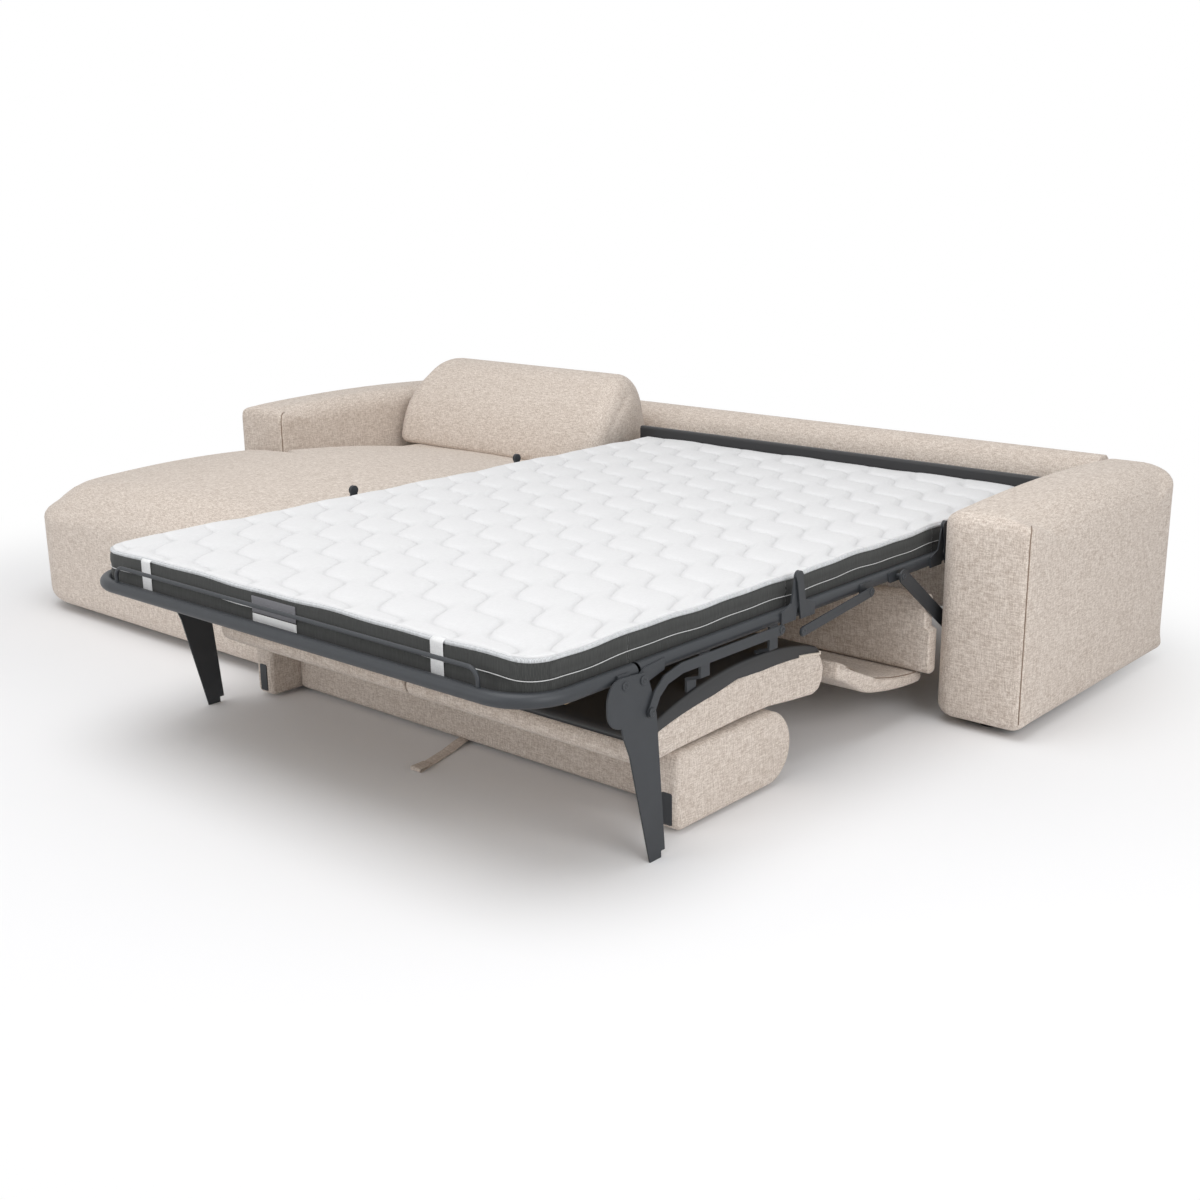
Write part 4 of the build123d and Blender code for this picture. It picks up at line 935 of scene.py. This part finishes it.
class SOFA_OT_backrest(bpy.types.Operator):
    """Build the backrest under the seat: body, solid ends and pull strap"""
    bl_idname = "sofa.backrest"
    bl_label = "Backrest"

    def execute(self, context):
        low, high = node_box("backrest")
        cheek, recess = 0.07, 0.09
        padded_piece("backrest_body", backrest_loop(low[1] + recess, low, high), low[0] + cheek,
                     high[0] - cheek, 0.002, body="backrest", node="backrest", stations=26)
        for label, start, stop in (("left", low[0], low[0] + cheek), ("right", high[0] - cheek, high[0])):
            padded_piece(f"backrest_end_{label}", backrest_loop(low[1], low, high), start, stop, 0.014,
                         body="backrest", stations=6, crown=0.003)
            middle = (start + stop) / 2
            plate = box_loop((middle - 0.0135, 0.019), (middle + 0.0135, 0.09), (0.003,) * 4, 40)
            rings, poles = padded_rings(plate, low[1] - 0.0024, low[1] + 0.004, 0.0012, stations=4)
            dress(closed_mesh(f"backrest_plate_{label}", oriented(rings, "Y"), oriented(poles, "Y")), "steel",
                  "backrest")
        low, high = node_box("pull_strap")
        t = np.linspace(0, 1, 40)
        laid = line((low[0] + high[0]) / 2 - 0.028 + 0.06 * t, np.linspace(high[1], low[1], 40),
                    high[2] - 0.001 - 0.0048 * np.clip((t - 0.12) / 0.3, 0, 1))
        turn = np.linspace(0, math.pi, 12)[1:]
        curl = laid[-1] + line(0.0, -0.0042 * np.sin(turn), 0.0042 * (1 - np.cos(turn)))
        tail = curl[-1] + np.linspace(0, 1, 9)[1:, None] * [-0.008, 0.042, -0.0035]
        path = np.concatenate([laid, curl, tail])
        wide = high[0] - low[0]
        strap = ribbon_mesh("pull_strap_cloth", path, (1, 0, 0), wide, 0.0018)
        dress(strap, "upholstery", "backrest", "pull_strap")
        return {"FINISHED"}


def apron_line(y, low, high):
    """Heights of the apron's top and underside at depth y.

    The top falls 72 mm in a straight slope to the knee, then 50 mm more along a shallow hollow,
    bow * 4 u (1 - u) below its chord; a moving average eases the knee.  The thickness runs to a thin lip.
    """
    run = y - low[1]
    knee, end = 0.125, high[1] - low[1]
    u = np.clip((run - knee) / (end - knee), 0, 1)
    fall = np.minimum(run / knee, 1) * 0.072 + 0.05 * u + 0.008 * 4 * u * (1 - u)
    fall = np.convolve(np.pad(fall, 6, mode="edge"), np.ones(13) / 13, mode="valid")
    top = high[2] - 0.0005 - fall
    return top, top - np.interp(run, [0.0, knee, end], [0.043, 0.043, 0.031])


class SOFA_OT_apron(bpy.types.Operator):
    """Build the padded apron behind the seat with its piping"""
    bl_idname = "sofa.apron"
    bl_label = "Apron"

    def execute(self, context):
        low, high = node_box("apron")
        y = np.linspace(low[1] + 0.006, high[1] - 0.012, 70)
        top, under = apron_line(y, low, high)
        nose = np.array([[high[1] - 0.003, top[-1] - 0.007], [high[1], (top[-1] + under[-1]) / 2],
                         [high[1] - 0.003, under[-1] + 0.007]])
        heel = np.array([[low[1] + 0.001, under[0] + 0.008], [low[1] + 0.001, top[0] - 0.008]])
        loop = np.concatenate([line(y, top), nose, line(y, under)[::-1], heel])
        padded_piece("apron_pad", even_loop(loop, 150), low[0], high[0], 0.013, body="apron", node="apron",
                     stations=26, fill=0.8, crown=0.004)
        y = np.linspace(low[1] + 0.02, high[1] - 0.03, 50)
        for label, place in (("right", high[0] - 0.0085), ("left", low[0] + 0.0085)):
            path = line(place, y, apron_line(y, low, high)[0] - 0.0032)
            piping(f"apron_welt_{label}", path, SEAM_RADIUS, "seam thread", "apron")
        return {"FINISHED"}


# Fittings: straps, labels, rivets


class SOFA_OT_straps(bpy.types.Operator):
    """Build the elastic straps and the two blank label patches on the mattress front"""
    bl_idname = "sofa.straps"
    bl_label = "Straps and labels"

    def execute(self, context):
        low, high = node_box("mattress_straps")
        face = FRONT_Y - 0.0045
        wide = 0.036
        rail = node_box("front_rail")[1][2]
        for label, place in (("left", low[0] + wide / 2), ("right", high[0] - wide / 2)):
            turn = np.linspace(0, math.pi / 2, 8)
            over = line(place, FRONT_Y + 0.010 - 0.0145 * np.sin(turn),
                        BED_TOP - 0.012 + 0.0075 * np.cos(turn))
            down = line(place, face, np.linspace(BED_TOP - 0.02, rail - 0.022, 12))
            path = np.concatenate([over, down])
            strap = ribbon_mesh(f"elastic_{label}", path, (1, 0, 0), wide, 0.0016)
            dress(strap, "elastic", "bed_end", "mattress_straps")
        x = np.linspace(-0.115, 0.031, 20) + BED_X
        for label, finish, top, tall in (("upper", "label grey", 0.072, 0.036),
                                         ("lower", "label white", 0.034, 0.026)):
            path = line(x, face, MATTRESS_LOW[2] + top - tall / 2)
            patch = ribbon_mesh(f"label_{label}", path, (0, 0, 1), tall, 0.0012)
            dress(patch, finish, "bed_end")
        return {"FINISHED"}


# Rivet head from its foot to its sunk middle: share of the radius and of the height
RIVET_REACH = np.array([1.0, 1.0, 0.94, 0.8, 0.5, 0.46, 0.42])
RIVET_UP = np.array([0.0, 0.35, 0.72, 1.0, 1.0, 0.9, 0.35])
# Rivets: name, body, distance behind the mattress front, height, and how far out the face lies
RIVETS = (("leg_front", "bed_end", 0.207, 0.388, 0.009), ("leg_pivot", "bed_foot", 0.26, 0.386, 0.0096),
          ("bar_low", "bed_end", 0.278, 0.318, 0.0155), ("bar_rear", "control_bars", 0.714, 0.382, 0.014),
          ("link_front", "link_bars", 0.788, 0.362, 0.019), ("link_rear", "link_bars", 1.065, 0.392, 0.019),
          ("swing_top", "swing_arms", 1.2, 0.402, 0.024))


def rivet_rings(y, z, face, outward_x, radius, tall):
    """Rivet head turned about x: a domed rim with a sunk middle, as rings and two poles."""
    angle = np.linspace(0, 2 * math.pi, 24, endpoint=False)
    reach = (RIVET_REACH * radius)[:, None]
    x = face + outward_x * RIVET_UP * tall
    rings = line(x[:, None], y + reach * np.cos(angle), z + reach * np.sin(angle))
    return rings, np.array([[face, y, z], [x[-1], y, z]])


class SOFA_OT_rivets(bpy.types.Operator):
    """Build the rivet heads at the frame's pivots"""
    bl_idname = "sofa.rivets"
    bl_label = "Rivets"

    def execute(self, context):
        side = BED_HALF + 0.030
        for name, body, y, z, out in RIVETS:
            for label, sign in (("right", 1), ("left", -1)):
                rings, poles = rivet_rings(FRONT_Y + y, z, BED_X + sign * (side + out), sign, 0.0095, 0.0022)
                dress(closed_mesh(f"rivet_{name}_{label}", rings, poles), "steel", body)
        return {"FINISHED"}


NODE_FINISHES = {"frame_steel": "steel", "slat_wood": "slat", "timber": "board", "black_plastic": "glide"}


class SOFA_OT_solids(bpy.types.Operator):
    """Give every solid that stays in view its finish"""
    bl_idname = "sofa.solids"
    bl_label = "Solids"

    def execute(self, context):
        for entry in frame["record"]["subparts"]:
            finish = NODE_FINISHES.get(entry["material_slot"])
            if entry["node"] == "head_rail":
                finish = "dark strip"
            if finish:
                mesh = frame["nodes"][entry["node"]].data
                mesh.materials.clear()
                mesh.materials.append(material(finish))
        return {"FINISHED"}


# Stage: floor, light, camera


def stage_material():
    """Pale floor that keeps the shadow near the sofa and runs out to white away from it.

    The white share rises smoothly from 0 to 1 between two ellipses about the middle of the floor, for rays
    from the camera, mirrors and glass; all other rays see the plain pale floor.
    """
    made, tree, bsdf = shader("stage", (0.86, 0.86, 0.87), 0.9, Specular_IOR_Level=0.0)
    mapped = add(tree, "ShaderNodeMapping", [("Vector", object_place(tree)), ("Location", (-0.03, 0.16, 0.0)),
                                             ("Scale", (0.45, 0.52, 0.0))])
    far = add(tree, "ShaderNodeVectorMath", [(0, mapped.outputs[0])], operation="LENGTH").outputs[1]
    share = add(tree, "ShaderNodeMapRange", [("Value", far), ("From Min", 0.62), ("From Max", 1.28)],
                interpolation_type="SMOOTHERSTEP").outputs[0]
    white = add(tree, "ShaderNodeEmission", [("Strength", 1.0)])
    mixed = add(tree, "ShaderNodeMixShader", [(0, maths(tree, "MULTIPLY", share, seen_rays(tree))),
                                              (1, bsdf.outputs[0]), (2, white.outputs[0])])
    tree.links.new(mixed.outputs[0], tree.nodes["Material Output"].inputs[0])
    return made


def seen_rays(tree):
    """One for rays from the camera, and for the mirror and glass rays that show what the camera would."""
    ray = add(tree, "ShaderNodeLightPath")
    seen = maths(tree, "MAXIMUM", ray.outputs["Is Camera Ray"], ray.outputs["Is Transmission Ray"])
    return maths(tree, "MAXIMUM", seen, ray.outputs["Is Glossy Ray"])


def area_light(name, place, target, size, energy):
    """A round area lamp turned towards a target."""
    data = bpy.data.lights.new(name, "AREA")
    data.shape = "DISK"
    data.size = size
    data.energy = energy
    lamp = bpy.data.objects.new(name, data)
    lamp.location = place
    direction = np.array(target, float) - np.array(place, float)
    lamp.rotation_euler = (math.acos(-direction[2] / np.linalg.norm(direction)), 0,
                           math.atan2(direction[0], -direction[1]) + math.pi)
    bpy.context.scene.collection.objects.link(lamp)


# Camera, solved from the mattress's edges: focal length and picture width in pixels, place from the
# middle of the mattress front, turns in degrees and sideways shift
FOCAL_PIXELS, PICTURE_PIXELS, SENSOR_WIDTH = 1516.86, 1200, 36.0
CAMERA_RIGHT, CAMERA_AHEAD, CAMERA_HEIGHT = 2.499, 1.841, 1.309
CAMERA_DOWN, CAMERA_TURN, CAMERA_SHIFT = 15.576, 39.30, -0.05
# Lamps: name, place, target, size and power
LAMPS = (("key", (0.4, -1.4, 4.6), (0.1, 0.0, 0.2), 4.5, 122.0),
         ("side", (4.6, -1.6, 2.0), (0.8, 0.0, 0.2), 2.6, 60.0),
         ("front", (-0.8, -5.0, 1.6), (0.0, 0.0, 0.3), 2.6, 34.0))
FLOOR_REACH = 30.0
SKY_SEEN, SKY_LIGHT = 1.0, 0.53


class SOFA_OT_stage(bpy.types.Operator):
    """Build the floor, the studio light and the camera"""
    bl_idname = "sofa.stage"
    bl_label = "Stage"

    def execute(self, context):
        corners = [(x * FLOOR_REACH, y * FLOOR_REACH, 0) for x, y in ((-1, -1), (1, -1), (1, 1), (-1, 1))]
        floor = new_object("stage_floor", corners, [(0, 1, 2, 3)])
        floor.data.materials.append(stage_material())
        world = bpy.data.worlds.new("studio")
        world.use_nodes = True
        tree = world.node_tree
        back = tree.nodes["Background"]
        extra = maths(tree, "MULTIPLY", seen_rays(tree), SKY_SEEN - SKY_LIGHT)
        tree.links.new(maths(tree, "ADD", extra, SKY_LIGHT), back.inputs["Strength"])
        back.inputs["Color"].default_value = (1, 1, 1, 1)
        context.scene.world = world
        for lamp in LAMPS:
            area_light(*lamp)
        lens = bpy.data.cameras.new("camera")
        lens.sensor_width = SENSOR_WIDTH
        lens.lens = FOCAL_PIXELS / PICTURE_PIXELS * SENSOR_WIDTH
        lens.shift_x = CAMERA_SHIFT
        lens.clip_end = 100.0
        camera = bpy.data.objects.new("camera", lens)
        camera.location = (BED_X + CAMERA_RIGHT, FRONT_Y - CAMERA_AHEAD, CAMERA_HEIGHT)
        camera.rotation_euler = (math.radians(90 - CAMERA_DOWN), 0, math.radians(CAMERA_TURN))
        context.scene.collection.objects.link(camera)
        context.scene.camera = camera
        context.scene.view_settings.view_transform = "Standard"
        return {"FINISHED"}


STEPS = (SOFA_OT_solids, SOFA_OT_arms, SOFA_OT_back, SOFA_OT_chaise, SOFA_OT_mattress, SOFA_OT_seat,
         SOFA_OT_backrest, SOFA_OT_apron, SOFA_OT_straps, SOFA_OT_rivets, SOFA_OT_stage)


class SOFA_PT_panel(bpy.types.Panel):
    """Sidebar panel with the steps and the values"""
    bl_idname = "SOFA_PT_panel"
    bl_label = "Corner sofa bed"
    bl_space_type = "VIEW_3D"
    bl_region_type = "UI"
    bl_category = "Sofa"

    def draw(self, context):
        for step in STEPS:
            self.layout.operator(step.bl_idname)
        for settings in (context.scene.sofa_sizes, context.scene.sofa_colours):
            for key in settings.__annotations__:
                self.layout.prop(settings, key)


CLASSES = (SofaSizes, SofaColours, *STEPS, SOFA_PT_panel)


def register():
    for item in CLASSES:
        bpy.utils.register_class(item)
    bpy.types.Scene.sofa_sizes = bpy.props.PointerProperty(type=SofaSizes)
    bpy.types.Scene.sofa_colours = bpy.props.PointerProperty(type=SofaColours)


def unregister():
    del bpy.types.Scene.sofa_sizes
    del bpy.types.Scene.sofa_colours
    for item in reversed(CLASSES):
        bpy.utils.unregister_class(item)


def main():
    register()
    for step in STEPS:
        module, name = step.bl_idname.split(".")
        getattr(getattr(bpy.ops, module), name)()


if __name__ == "__main__":
    main()
